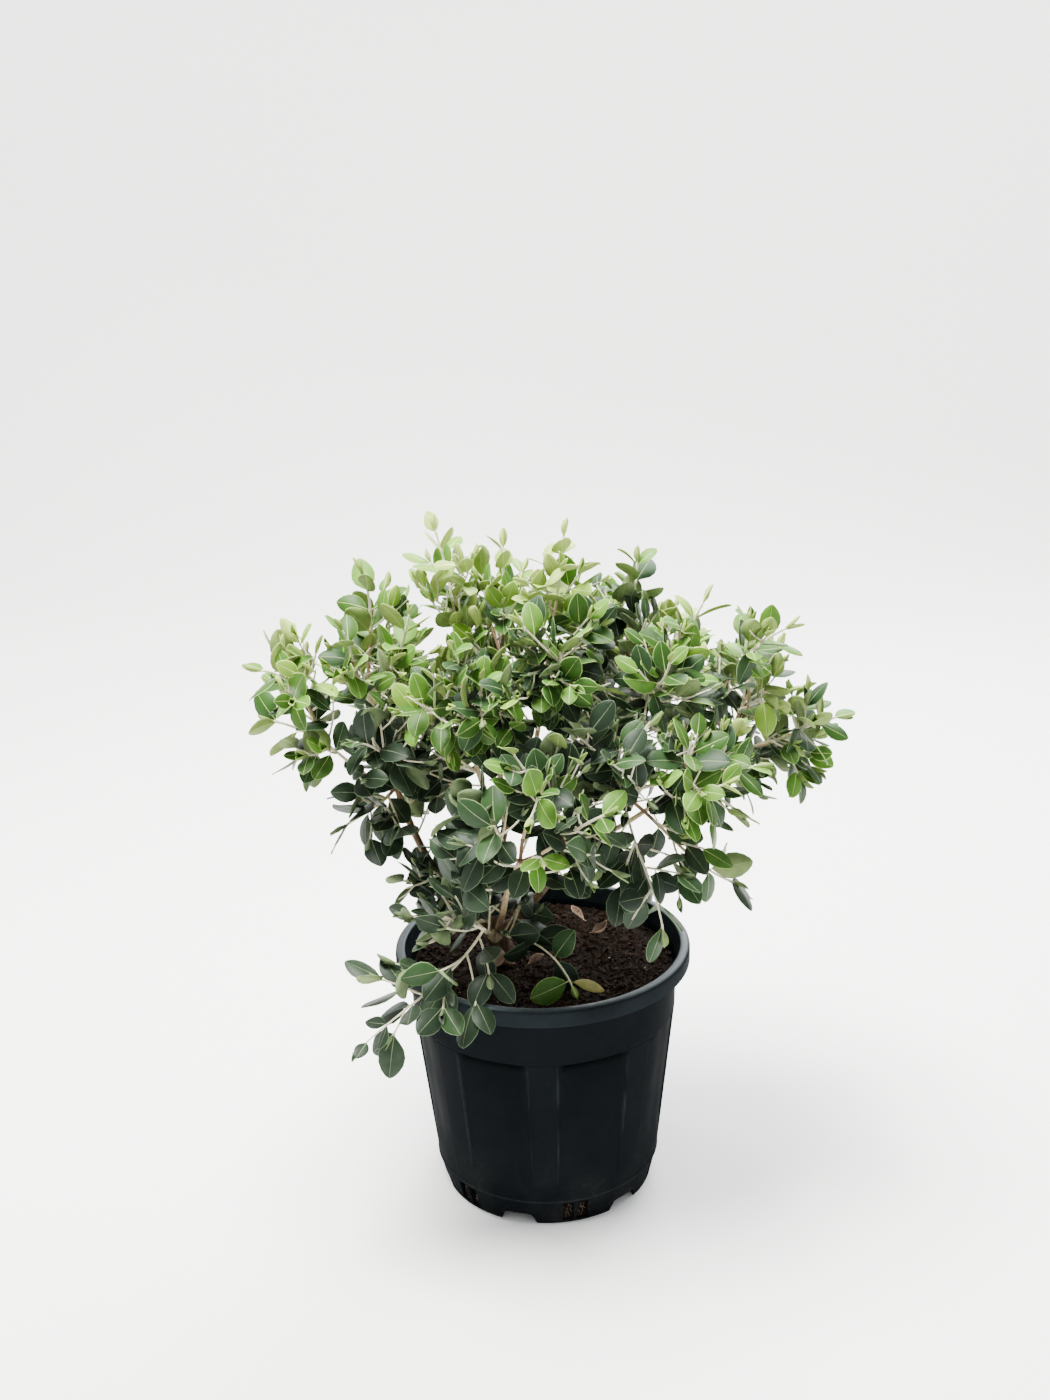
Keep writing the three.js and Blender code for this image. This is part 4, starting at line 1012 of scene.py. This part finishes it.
MORE_SHOOTS = {
    "count": 5, "first": 20, "span": (0.1, 0.82), "length": 50, "space": 18, "rank": 1, "lift": 0.35,
}
FULL_SHOOTS = {
    "count": 9, "first": 20, "span": (0.02, 0.9), "length": 68, "space": 15, "rank": 1, "lift": 0.0,
}
BASE_SHOOTS = {
    "count": 5, "first": 20, "span": (0.0, 0.46), "length": 46, "space": 15, "rank": 1, "lift": 0.35,
}
BARE_SHOOTS = {
    "count": 4, "first": 20, "span": (0.0, 0.2), "length": 44, "space": 13, "rank": 1, "lift": 0.6,
}
FINE_SHOOTS = {
    "count": 2, "first": 100, "span": (0.35, 0.9), "length": 34, "space": 16, "rank": 2, "lift": 0.35,
}
BOUGH_SHOOTS = {
    "count": 14, "first": 5000, "span": (0.2, 0.99), "length": 66, "space": 14, "rank": 1, "lift": 0.2,
}
BARE_MASSES = {"leaves_soil_sprig"}
ROSETTES = {"leaves_front_big", "leaves_front_lime", "leaves_front_right", "leaves_centre_pale"}
OPEN_MASSES = {
    "leaves_sprawl_lower", "leaves_sprawl_upper", "leaves_soil_sprig", "leaves_right_hang",
    "leaves_right_droop", "leaves_right_under", "leaves_left_hang", "leaves_left_low",
}
FELTED_MASSES = {"leaves_soil_sprig", "leaves_sprawl_lower", "leaves_sprawl_upper", "leaves_right_hang"}
FULL_MASSES = {
    "leaves_front_upper", "leaves_centre_front", "leaves_mid_front", "leaves_centre_pale", "leaves_low_left",
    "leaves_left_inner", "leaves_back_top", "leaves_back_middle", "leaves_back_right",
}


def grow_stems(grown, ways):
    """Each mass's stem, grown on to the furthest leaves, and its axis, the line that sets its space."""
    made = []
    for name, origin, tip, aim, other, youth_and_light in MASSES:
        carrier = grown[origin]
        way = ways[name]
        end_way = unit(np.array(aim, float))
        root = carrier["head"] + way * (knuckle_reach(way, carrier["size"]) + GAP)
        bare = name in BARE_MASSES
        curves = []
        for short_of_tip in (SOURCE_LEADER, SPRIG_LEADER if bare else LEADER):
            end = np.array(tip, float) - short_of_tip * end_way
            handle = STEM_HANDLE * np.linalg.norm(end - root)
            curves.append(Growth(root, root + handle * way, end - handle * end_way, end))
        made.append({
            "name": name, "axis": curves[0], "curve": curves[1], "start": carrier["head"], "youth_and_light": youth_and_light,
            "tip": np.array(tip, float), "aim": end_way, "shoots": other.get("shoots", SHOOTS),
            "reach": other.get("reach", REACH) + (SPRIG_SLACK if bare else 0),
            "bare": bare, "open": name in OPEN_MASSES, "full": name in FULL_MASSES,
            "rosette": name in ROSETTES,
        })
    return made


def segments(curves):
    """Where the straight pieces of all these curves start and end."""
    paths = np.array([curve.at(np.linspace(0, 1, SAMPLES)) for curve in curves])
    return paths[:, :-1].reshape(-1, 3), paths[:, 1:].reshape(-1, 3)


stems = grow_stems(limbs, root_way)
stem_starts, stem_ends = segments(stem["axis"] for stem in stems)
limb_starts, limb_ends = segments(limb["curve"] for limb in limbs.values())
limb_thick = np.array([limb["radii"][0] for limb in limbs.values()])
box_low = np.array(cad_box[0]) / MM - BOX_SLACK
box_high = np.array(cad_box[1]) / MM + BOX_SLACK


def outside_pot(points):
    """Whether each point is off the pot and the mix, with a little room."""
    radius = np.hypot(points[:, 0], points[:, 1])
    height = points[:, 2]
    beside = (radius > RIM_RADIUS + 3) & (height > 6)
    inside = (radius < BAND_RADIUS - 8) & (height > SOIL_TOP + 3)
    return (height > POT_HEIGHT + 2) | beside | inside


def past_tip(index, rank):
    """How far past the mass's furthest leaf a twig of this rank may lead. The leader stands clear."""
    stem = stems[index]
    if stem["open"] and not rank:
        return OVERGROWN_OPEN
    if stem["full"]:
        return OVERGROWN_FULL
    return OVERGROWN_UPRIGHT[rank] if stem["aim"][2] > UPRIGHT else OVERGROWN[rank]


def nearest_of(points, starts, ends):
    """Distance from each point to each curve whose segments these are."""
    away = segment_distances(points, starts, ends)[0]
    return away.reshape(len(points), -1, SAMPLES - 1).min(axis=2)


def is_free(index, points, margin, past):
    """Whether these points lie in the mass's own space, short of its tip, off every limb and off the pot."""
    stem = stems[index]
    if (points < box_low).any() or (points > box_high).any() or not outside_pot(points).all():
        return False
    if ((points - stem["tip"]) @ stem["aim"] > past).any():
        return False
    away = nearest_of(points, stem_starts, stem_ends)
    own = away[:, index].copy()
    away[:, index] = np.inf
    if (own > stem["reach"]).any() or (away.min(axis=1) < own + margin).any():
        return False
    return not (nearest_of(points, limb_starts, limb_ends) < limb_thick + margin).any()


def side_way(tangent, turn):
    """A direction square to a twig, at an angle round it from the level."""
    across = np.cross(UP, tangent)
    if np.linalg.norm(across) < 0.2:
        across = np.array((1.0, 0.0, 0.0)) - tangent * tangent[0]
    across = unit(across)
    return across * math.cos(turn) + np.cross(tangent, across) * math.sin(turn)


def side_shoot(parent, along, turn, length, lift):
    """A shoot that leaves its parent sideways and curves up to the light."""
    base = parent["curve"].at(along)[0]
    tangent = parent["curve"].tangent(along)
    way = unit(FORWARD * tangent + side_way(tangent, turn))
    middle = base + 0.5 * length * way
    end_way = unit(way + 0.4 * tangent + lift * UP)
    return Growth(base, middle, middle + 0.5 * length * end_way)


def first_free(index, tries, ends, plan, inner=0.3):
    """The first of these curves that has room, or None."""
    past = past_tip(index, plan["rank"]) - LEAFY_TIP
    for curve in tries:
        end = curve.point(1.0)[0]
        if any(np.linalg.norm(end - other) <= plan["space"] for other in ends):
            continue
        if is_free(index, curve.point(np.linspace(inner, 1, 4)), CLEAR + 1, past):
            return curve
    return None


def add_shoot(index, parent, along, turn, length, name, plan, ends, twigs, inner=0.3):
    """One more side shoot, if there is room for it at this turn or one near it."""
    tries = (side_shoot(parent, along, turn + swing, length, plan["lift"]) for swing in SWINGS)
    curve = first_free(index, tries, ends, plan, inner)
    if curve is None:
        return
    ends.append(curve.point(1.0)[0])
    twigs.append({"curve": curve, "id": name, "rank": plan["rank"], "start": curve.point(0.0)[0]})


def shoots_on(index, parent, ends, plan):
    """More shoots on one twig: how many there are, where, how long and how far apart their tips stay."""
    made = []
    for shoot in range(plan["count"]):
        name = plan["first"] + 10 * parent["id"] + shoot
        along = blend(*plan["span"], (shoot + 0.5) / plan["count"]) + 0.1 * (chance(index, 11, name) - 0.5)
        turn = 1.2 + shoot * SPIRAL + FULL_TURN * chance(index, 12, name)
        length = plan["length"] * blend(1.15, 0.7, along) * blend(*SHOOT_SIZES, chance(index, 13, name))
        add_shoot(index, parent, along, turn, length, name, plan, ends, made)
    return made


def bough_shoots(index, limb, limb_id, ends):
    """The shoots that a bough itself puts out into this mass's space."""
    made = []
    plan = BOUGH_SHOOTS
    for shoot in range(plan["count"]):
        along = blend(*plan["span"], (shoot + 0.5) / plan["count"])
        base = limb["curve"].at(along)
        if np.linalg.norm(base - stems[index]["axis"].point(0.0)[0]) > 1.4 * stems[index]["reach"]:
            continue
        name = plan["first"] + 20 * limb_id + shoot
        turn = shoot * SPIRAL + FULL_TURN * chance(limb_id, 15, 0)
        length = plan["length"] * blend(*SHOOT_SIZES, chance(limb_id, 16, shoot))
        add_shoot(index, limb, along, turn, length, name, plan, ends, made, inner=0.55)
    return made


def grow_twigs(index, stem):
    """The stem, its side shoots where the solid model has them too, and the finer shoots on both."""
    twigs = [{"curve": stem["curve"], "id": 0, "rank": 0, "start": stem["start"]}]
    solid_stem = {"curve": stem["axis"]}
    plan = {"space": SHOOT_SPACE, "rank": 1, "lift": 0.35}
    ends = []
    for shoot in range(stem["shoots"]):
        along = blend(0.34, 0.84, (shoot + 0.5) / stem["shoots"]) + 0.08 * (chance(index, 7, shoot) - 0.5)
        turn = shoot * SPIRAL + FULL_TURN * chance(index, 8, 0)
        length = SHOOT_LENGTH * blend(1.15, 0.6, along) * blend(0.8, 1.15, chance(index, 9, shoot))
        add_shoot(index, solid_stem, along, turn, length, shoot + 10, plan, ends, twigs)
    if stem["bare"]:
        return twigs[:1] + shoots_on(index, twigs[0], [], BARE_SHOOTS)
    if stem["open"]:
        return twigs + shoots_on(index, twigs[0], ends, BASE_SHOOTS)
    twigs += shoots_on(index, twigs[0], ends, FULL_SHOOTS if stem["full"] else MORE_SHOOTS)
    for limb_id, limb in enumerate(limbs.values()):
        if limb["name"] != "trunk":
            twigs += bough_shoots(index, limb, limb_id, ends)
    for parent in twigs[1:]:
        twigs += shoots_on(index, parent, ends, FINE_SHOOTS)
    return twigs


# Leaves stand in opposite pairs, each pair turned from the last, with a small folded pair at most shoots'
# tips. They are leathery, blunt ovals, most of them 30 to 47 mm long: satin green above with a pale midrib,
# felted grey-green below.
LEAF_LENGTHS = (46, 40)
LEAF_SHARES = (0.6, 0.58)
PAIR_STEPS = (15, 2.0)
MOST_PAIRS = 20
OPEN_STEP = 1.5
BARE_STEP = 1.9
BIGGER = {"leaves_soil_sprig": 1.06, "leaves_sprawl_lower": 1.04}
BARE = (0.16, 0.22, 0.28)
LEAF_SPACE = 10
TIP_SPACE = 4
BARE_TIP = 5
GROWING = (0.76, 0.95, 1.03, 1.06)
LEANS = (30, 46, 56, 62)
PAIR_TURNS = (0.1, 1.67)
TURN_VARIES = 0.6
LEAN_VARIES = 14
SIZE_VARIES = (0.84, 1.12)
STEP_VARIES = (0.88, 1.12)
SPINE = (0.35, 0.65, 1.0)
BROADEST = 0.55
FACING = {"rising": 0.6, "up": 0.55, "outward": 0.4, "any": 1.5}
TIP_SIZES = {
    "leaves_front_big": 1.12, "leaves_front_lime": 0.8, "leaves_front_right": 0.8, "leaves_centre_pale": 0.9,
    "leaves_sprawl_lower": 0.62, "leaves_sprawl_upper": 0.7,
}
ROSETTE_GROWING = (0.98, 1.02, 1.0, 1.06)
ROSETTE_TIP = {"pairs": 2, "older": 0.3}
ROSETTE_LEANS = (56, 68, 64, 62)
BUDS = {"missing": 0.45, "leans": (9, 26), "sizes": (0.32, 0.6), "wide": 0.2}
CROWN = {"middle": np.array((-5.0, 10.0, 430.0)), "half": np.array((330.0, 225.0, 335.0))}
STATIONS = np.array((0, 0.09, 0.18, 0.33, 0.51, 0.69, 0.85, 0.955, 1.0))
HALF_WIDTHS = np.array((0.035, 0.05, 0.41, 0.83, 1.0, 0.92, 0.65, 0.33, 0.07))
THICKNESS = 0.85
# TONE's outer share paints shade on leaves inside the crown, and its high share paints upper leaves lighter
# and lower ones darker.
TONE = {"young": -0.19, "edge": 0.85, "outer": 0.8, "high": 0.16, "spray": 0.36, "own": 0.24}
TONE_BY_PAIR = {-1: 0.1, 0: 0.08, 1: 0.0}
OLDER_TONE = -0.08


def node_places(twig, tip_space, spread):
    """How far along a twig each pair of leaves stands, from its tip to its bare foot."""
    length = twig["curve"].length
    nodes = []
    for pair in range(MOST_PAIRS):
        along = 1 - (tip_space + pair * (PAIR_STEPS[0] + PAIR_STEPS[1] * pair) * spread) / length
        if pair and along < BARE[twig["rank"]]:
            break
        nodes.append(along)
    return nodes


def least_space(spines, spine):
    """The least distance between one leaf's middle line and all the others'."""
    return float(np.min(np.linalg.norm(spines[:, None] - spine[None], axis=2)))


def leaf_places(index, stem, twigs):
    """Every leaf of a mass: its root, its way, its face, its size and what colours it."""
    spines = np.empty((0, 3))
    placed = []
    normal = blend(*LEAF_LENGTHS, stem["youth_and_light"]) * BIGGER.get(stem["name"], 1)
    share = blend(*LEAF_SHARES, stem["youth_and_light"])
    growing = ROSETTE_GROWING if stem["rosette"] or stem["open"] else GROWING
    leans = ROSETTE_LEANS if stem["rosette"] or stem["bare"] else LEANS
    at_tip = TIP_SIZES.get(stem["name"], 1)
    for twig in twigs:
        curve, name = twig["curve"], twig["id"]
        sprig_stem = stem["bare"] and not twig["rank"]
        step = BARE_STEP if sprig_stem else OPEN_STEP if stem["open"] else 1
        step *= blend(*STEP_VARIES, chance(index, name, 3))
        twig["nodes"] = node_places(twig, BARE_TIP if sprig_stem else TIP_SPACE, step)
        for pair, along in enumerate(twig["nodes"]):
            tangent = curve.tangent(along)
            rising = tangent * (1, 1, -1) if tangent[2] < 0 else tangent
            root = curve.at(along)[0]
            outward = unit((root - CROWN["middle"]) / CROWN["half"])
            lean = math.radians(leans[min(pair, 3)] + LEAN_VARIES * (chance(index, name, pair + 40) - 0.5))
            for half in (0, 1):
                draw = 200 + pair * 2 + half
                if sprig_stem and draw == 200:
                    # The yellowing leaf, which has a section of its own, stands here.
                    continue
                size = growing[min(pair, 3)] * blend(*SIZE_VARIES, chance(index, name, draw))
                if pair < ROSETTE_TIP["pairs"] and not twig["rank"]:
                    size *= at_tip
                length = normal * size
                varied = TURN_VARIES * (chance(index, name, pair) - 0.5)
                first = PAIR_TURNS[pair % 2] + varied + half * math.pi
                for swing in SWINGS:
                    out = side_way(tangent, first + swing)
                    way = unit(tangent * math.cos(lean) + out * math.sin(lean))
                    if stem["bare"]:
                        way = unit(np.array((way[0], way[1], max(way[2], SPRIG_DROOP))))
                    spine = root + np.outer(SPINE, length * way)
                    if len(spines) and least_space(spines, spine) < LEAF_SPACE:
                        continue
                    roll = np.array([chance(index, name, draw + 300 + k) - 0.5 for k in range(3)])
                    face = FACING["rising"] * rising + FACING["up"] * UP
                    face = face + FACING["outward"] * outward + FACING["any"] * roll
                    face = unit(face - way * np.dot(face, way))
                    side = np.cross(face, way)
                    wide = normal * share / 2 * size
                    broadest = root + BROADEST * length * way
                    outline = np.concatenate([spine, [broadest + wide * side, broadest - wide * side]])
                    if not is_free(index, outline, CLEAR, past_tip(index, twig["rank"])):
                        continue
                    spines = np.concatenate([spines, spine])
                    placed.append({"root": root, "way": way, "side": side, "face": face, "length": length,
                                   "wide": wide, "pair": pair, "twig": twig, "draw": draw, "mass": index})
                    break
    return placed


def bud_leaves(index, twigs):
    """The two small folded leaves that stand up at a shoot's tip."""
    buds = []
    for twig in twigs:
        name = twig["id"]
        if twig["rank"] and chance(index, name, 704) < BUDS["missing"]:
            continue
        curve = twig["curve"]
        tangent = curve.tangent(1.0)
        root = curve.at(1.0 - 1.0 / curve.length)[0]
        for half in (0, 1):
            draw = 700 + half
            lean = math.radians(blend(*BUDS["leans"], chance(index, name, draw)))
            out = side_way(tangent, 1.4 + half * math.pi + chance(index, name, 702))
            way = unit(tangent * math.cos(lean) + out * math.sin(lean))
            face = unit(tangent * math.sin(lean) - out * math.cos(lean))
            length = LEAF_LENGTHS[1] * blend(*BUDS["sizes"], chance(index, name, draw + 5))
            buds.append({"root": root, "way": way, "side": np.cross(face, way), "face": face,
                         "length": length, "wide": BUDS["wide"] * length, "pair": -1, "twig": twig,
                         "draw": draw, "mass": index})
    return buds


def leaf_bends(leaf):
    """How much a leaf curls back along its length, folds up along its midrib and twists."""
    if "bends" in leaf:
        return leaf["bends"]
    if leaf["pair"] < 0:
        return -0.25, 0.9, 0.0
    draws = [chance(leaf["mass"], leaf["twig"]["id"], leaf["draw"] + 900 + k) for k in range(3)]
    return blend(-0.15, 0.75, draws[0]), blend(0.05, 0.42, draws[1] ** 1.5), blend(-0.45, 0.45, draws[2])


def leaf_blades(leaves):
    """Points of all these leaves at once: six across each row above, two below, and each row's own bend."""
    columns = ("root", "way", "side", "face", "length", "wide")
    root, way, side, face, length, wide = (np.array([leaf[key] for leaf in leaves]) for key in columns)
    curl, fold, twist = np.array([leaf_bends(leaf) for leaf in leaves]).T
    points = np.empty((len(leaves), len(STATIONS), 8, 3))
    middle = root.copy()
    last = 0.0
    for row, station in enumerate(STATIONS):
        bend = (curl * station)[:, None]
        forward = np.cos(bend) * way - np.sin(bend) * face
        above = np.sin(bend) * way + np.cos(bend) * face
        middle = middle + forward * ((station - last) * length)[:, None]
        last = station
        turn = (twist * station)[:, None]
        across = np.cos(turn) * side + np.sin(turn) * above
        top = np.cos(turn) * above - np.sin(turn) * side
        half = np.maximum(HALF_WIDTHS[row] * wide, 0.42)
        rib = np.minimum(0.32 * (1.1 - 0.8 * station), 0.45 * half)
        inner = np.maximum(half - 0.55, 0.86 * half)
        for column, reach in enumerate((-half, -inner, -rib, rib, inner, half)):
            lift = fold * np.abs(reach) - 0.018 * reach ** 2 - 0.45 * (column in (0, 5))
            points[:, row, column] = middle + across * reach[:, None] + top * lift[:, None]
        for column, reach in ((6, -rib), (7, rib)):
            points[:, row, column] = middle - top * THICKNESS + across * reach[:, None]
    return points.reshape(-1, 3)


def leaf_faces(count):
    """Faces of so many leaves, and for each face 0 upper side, 1 midrib and stalk, 2 margin, 3 underside."""
    faces = []
    kinds = []
    rows = len(STATIONS)
    for row in range(rows - 1):
        here, after = row * 8, (row + 1) * 8
        for column, kind in enumerate((2, 0, 1, 0, 2)):
            faces.append((here + column, here + column + 1, after + column + 1, after + column))
            kinds.append(1 if row == 0 else kind)
        faces.append((here + 6, here, after, after + 6))
        faces.append((here + 7, here + 6, after + 6, after + 7))
        faces.append((here + 5, here + 7, after + 7, after + 5))
        kinds += [1, 1, 1] if row == 0 else [3, 1, 3]
    faces.append((6, 7, 5, 4, 3, 2, 1, 0))
    faces.append(tuple((rows - 1) * 8 + i for i in (0, 1, 2, 3, 4, 5, 7, 6)))
    kinds += [1, 2]
    size = rows * 8
    every = [tuple(i + leaf * size for i in face) for leaf in range(count) for face in faces]
    return every, kinds * count


def leaf_upper(name, colour, pale):
    """Upper side of a leathery leaf: satin, waxy, mottled by its fine net of veins."""
    blade, tree, shader = new_material(name)
    place = add_node(tree, "ShaderNodeTexCoord").outputs["Object"]
    own = add_node(tree, "ShaderNodeAttribute", attribute_name="leaf_shade")
    mottle = add_node(tree, "ShaderNodeTexNoise", {"Vector": place, "Scale": 1 / 0.011, "Detail": 3.0})
    veins = add_node(tree, "ShaderNodeTexNoise", {"Vector": place, "Scale": 1 / 0.0016, "Detail": 2.0})
    share = add_node(tree, "ShaderNodeMath", {0: own.outputs["Fac"], 1: mottle}, operation="MULTIPLY")
    shade = add_node(tree, "ShaderNodeMix", {"Factor": share, "A": linear(colour), "B": linear(pale)},
                     data_type="RGBA")
    net = add_node(tree, "ShaderNodeBump", {"Height": veins, "Strength": 0.16, "Distance": 0.0005})
    wire(tree, shader, {"Base Color": shade, "Normal": net, "Roughness": 0.48, "Specular IOR Level": 0.16})
    return blade


def felted(name, colour, pale, rough=0.85, sheen=0.03):
    """Felted underside, rib or young stem: fine pale hairs that hide the green and take off all gloss."""
    felt, tree, shader = new_material(name)
    place = add_node(tree, "ShaderNodeTexCoord").outputs["Object"]
    hairs = add_node(tree, "ShaderNodeTexNoise", {"Vector": place, "Scale": 1 / 0.006, "Detail": 4.0})
    shade = add_node(tree, "ShaderNodeMix", {"Factor": hairs, "A": linear(colour), "B": linear(pale)},
                     data_type="RGBA")
    wire(tree, shader, {"Base Color": shade, "Roughness": rough, "Sheen Weight": sheen,
                        "Specular IOR Level": 0.12})
    return felt


def tone_of(leaf, stem):
    """How light and fresh a leaf is: by its mass, its spray, itself, its age, and its place in the crown.

    The mass's value and the leaf's place also paint light and shade: leaves deep in the crown and low down
    are painted darker, those high up lighter.
    """
    index, name = leaf["mass"], leaf["twig"]["id"]
    spray = chance(index, name, 810) - 0.5
    own = chance(index, name, leaf["draw"] + 820) - 0.5
    age = TONE_BY_PAIR.get(leaf["pair"], OLDER_TONE)
    if stem["rosette"] and (leaf["twig"]["rank"] or leaf["pair"] >= ROSETTE_TIP["pairs"]):
        age -= ROSETTE_TIP["older"]
    # Leaves deep in the crown and low down are painted darker, those high up lighter: painted shade and light
    # from above.
    spot = (leaf["root"] - CROWN["middle"]) / CROWN["half"]
    outer = min(1.0, np.linalg.norm(spot)) - TONE["edge"]
    tone = stem["youth_and_light"] + TONE["young"] + TONE["outer"] * outer + TONE["high"] * spot[2]
    return tone + TONE["spray"] * spray + TONE["own"] * own + age


# The tints run from shaded, painted as deep shade, to new, the lightest young growth; a leaf's tone picks its
# tint.
TINTS = [
    # name, upper colour, paler upper colour, midrib, margin, underside, paler underside
    ("shaded", "#142115", "#30412b", "#727d60", "#4b5d43", "#495a3b", "#707f57"),
    ("blue_green", "#1c331a", "#36512a", "#929d73", "#637a53", "#566a3f", "#7b8b59"),
    ("green", "#264614", "#4a6d24", "#b1bd79", "#85a057", "#637b3b", "#879b57"),
    ("fresh", "#40691c", "#6c9538", "#b9c885", "#94b05c", "#72893f", "#97aa5b"),
    ("lime", "#5f8521", "#8bab45", "#c8d592", "#adc36b", "#869c47", "#a8ba65"),
    ("new", "#829e3d", "#aac066", "#d8e2ae", "#c5d58f", "#9bae55", "#b9c979"),
]
leaves_by_tint = [[] for _ in TINTS]
twigs_by_mass = []
for index, stem in enumerate(stems):
    twigs = grow_twigs(index, stem)
    for twig in twigs:
        twig["felted"] = stem["name"] in FELTED_MASSES
    twigs_by_mass.append(twigs)
    for leaf in leaf_places(index, stem, twigs) + bud_leaves(index, twigs):
        step = int(tone_of(leaf, stem) * len(TINTS))
        leaves_by_tint[max(0, min(len(TINTS) - 1, step))].append(leaf)
mass_names = [stem["name"] for stem in stems]
for (tint, colour, pale, rib, edge, under, felt_pale), leaves in zip(TINTS, leaves_by_tint):
    faces, kinds = leaf_faces(len(leaves))
    felt = felted("felted_underside_" + tint, under, felt_pale)
    midrib = felted("pale_midrib_" + tint, rib, rib)
    margin = felted("pale_margin_" + tint, edge, edge)
    blade = leaf_upper("leathery_leaf_" + tint, colour, pale)
    piece = mesh_object("leaves_" + tint, leaf_blades(leaves), faces, [blade, midrib, margin, felt], kinds)
    shades = [chance(leaf["mass"], leaf["twig"]["id"], leaf["draw"] + 830) for leaf in leaves]
    shade = piece.data.attributes.new("leaf_shade", "FLOAT", "FACE")
    shade.data.foreach_set("value", np.repeat(shades, len(faces) // len(leaves)))
    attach(piece, "root")
    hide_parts(*mass_names)


# Young twigs are felted cream-white and swell at each pair of leaves. Where a stem leaves its bough it is
# already two years old, and thin brown bark covers the felt.
TWIG_RADII = {0: (2.1, 1.15), 1: (1.3, 0.85), 2: (1.0, 0.7)}
FELTED_RADII = (1.6, 0.9)
TWIG_SIDES = 6
TWIG_STEP = 9
TWIG_POINT = {"length": 2.0, "radius": 0.3}
SWELLING = {"length": 1.6, "share": 0.4}
OLD_WOOD = {"brown": 0.2, "tan": 0.45}


def twig_shape(twig):
    """Points, faces and a kind for each face: 0 cream, 1 tan, 2 brown."""
    curve = twig["curve"]
    nodes = np.array(twig["nodes"])
    swell = SWELLING["length"] / curve.length
    stops = set(np.linspace(0, 1, max(3, int(curve.length / TWIG_STEP))))
    stops |= {node + shift for node in nodes for shift in (-swell, 0, swell)}
    along = np.array([stop for stop in sorted(stops) if 0 <= stop <= 1])
    thick, thin = FELTED_RADII if twig["felted"] and not twig["rank"] else TWIG_RADII[twig["rank"]]
    near = np.min(np.abs(along[:, None] - nodes[None]), axis=1)
    radii = blend(thick, thin, along) * (1 + SWELLING["share"] * (near < swell / 2))
    radii = np.concatenate([radii, [TWIG_POINT["radius"]]])
    point = curve.at(1.0)[0] + TWIG_POINT["length"] * curve.tangent(1.0)
    path = np.concatenate([curve.at(along), [point]])
    if not twig["rank"]:
        path = np.concatenate([[twig["start"]], path])
        radii = np.concatenate([[thick], radii])
    points, faces = tube(path, radii, TWIG_SIDES)
    kinds = []
    for share in np.linspace(0, 1, len(path))[:-1]:
        young = twig["rank"] or twig["felted"] or share > OLD_WOOD["tan"]
        kinds += [0 if young else (1 if share > OLD_WOOD["brown"] else 2)] * TWIG_SIDES
    return points, faces, kinds + [kinds[0], 0] * TWIG_SIDES


twig_parts = []
twig_kinds = []
for twigs in twigs_by_mass:
    for twig in twigs:
        points, faces, kinds = twig_shape(twig)
        twig_parts.append((points, faces))
        twig_kinds += kinds
cream = felted("felted_young_twig", "#b9b08a", "#ddd7bd", sheen=0.35)
tan = felted("ripening_twig", "#8f7c58", "#bfae86", sheen=0.1)
brown = felted("two_year_old_twig", "#5f4836", "#8d745b", sheen=0.0)
all_points, all_faces = joined(twig_parts)
twig_piece = mesh_object("young_twigs", all_points, all_faces, [cream, tan, brown], twig_kinds)
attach(twig_piece, "root")
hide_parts(*mass_names)


# Fallen leaves lie curled and dry on the mix, in a dull pinkish brown. One leaf at the tip of the low sprig
# in front is turning yellow. They have the living leaves' outline.
LYING = SOIL_TOP + 7
FALLEN = [
    # place, turn, tilt, length, curl, fold, twist
    ((54, 47, LYING), 0.25, 0.6, 30, -1.7, 1.5, 0.9),
    ((52, 78, LYING), 2.7, 0.4, 28, -1.3, 1.3, -0.9),
    ((-33, -24, LYING), 3.2, 0.4, 30, -1.6, 1.2, 0.9),
    ((-20, -30, LYING), 0.3, 0.3, 26, -1.2, 1.5, -0.8),
    ((-58, -36, LYING), 1.0, 0.3, 24, -1.4, 1.1, 0.7),
]
YELLOWING = ((28.5, -105.5, 290.5), 0.12, 0.7, 40, 0.3, 0.25, 0.1)


def lying_leaf(place, turn, tilt, length, *bends):
    """A leaf rooted at a place, pointing at a turn from the right, its tip tilted down and its face up."""
    way = unit(np.array((math.cos(turn), math.sin(turn), -0.35 * tilt)))
    face = unit(UP + 0.4 * np.array((math.sin(turn), -math.cos(turn), 0.0)))
    face = unit(face - way * np.dot(face, way))
    return {"root": np.array(place, float), "way": way, "face": face, "side": np.cross(face, way),
            "length": length, "wide": 0.2 * length, "bends": bends}


dry = felted("dry_fallen_leaf", "#7c6557", "#b09888", sheen=0.0)
fallen = [lying_leaf(*row) for row in FALLEN]
litter_faces, _ = leaf_faces(len(fallen))
litter = mesh_object("fallen_leaves", leaf_blades(fallen), litter_faces, [dry])
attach(litter, "root")
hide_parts("soil")
yellowing = felted("yellowing_leaf", "#566b30", "#907a48", rough=0.6, sheen=0.0)
yellow_points = leaf_blades([lying_leaf(*YELLOWING)])
yellow_faces, _ = leaf_faces(1)
yellow = mesh_object("yellowing_leaf", yellow_points, yellow_faces, [yellowing])
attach(yellow, "root")
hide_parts("soil")
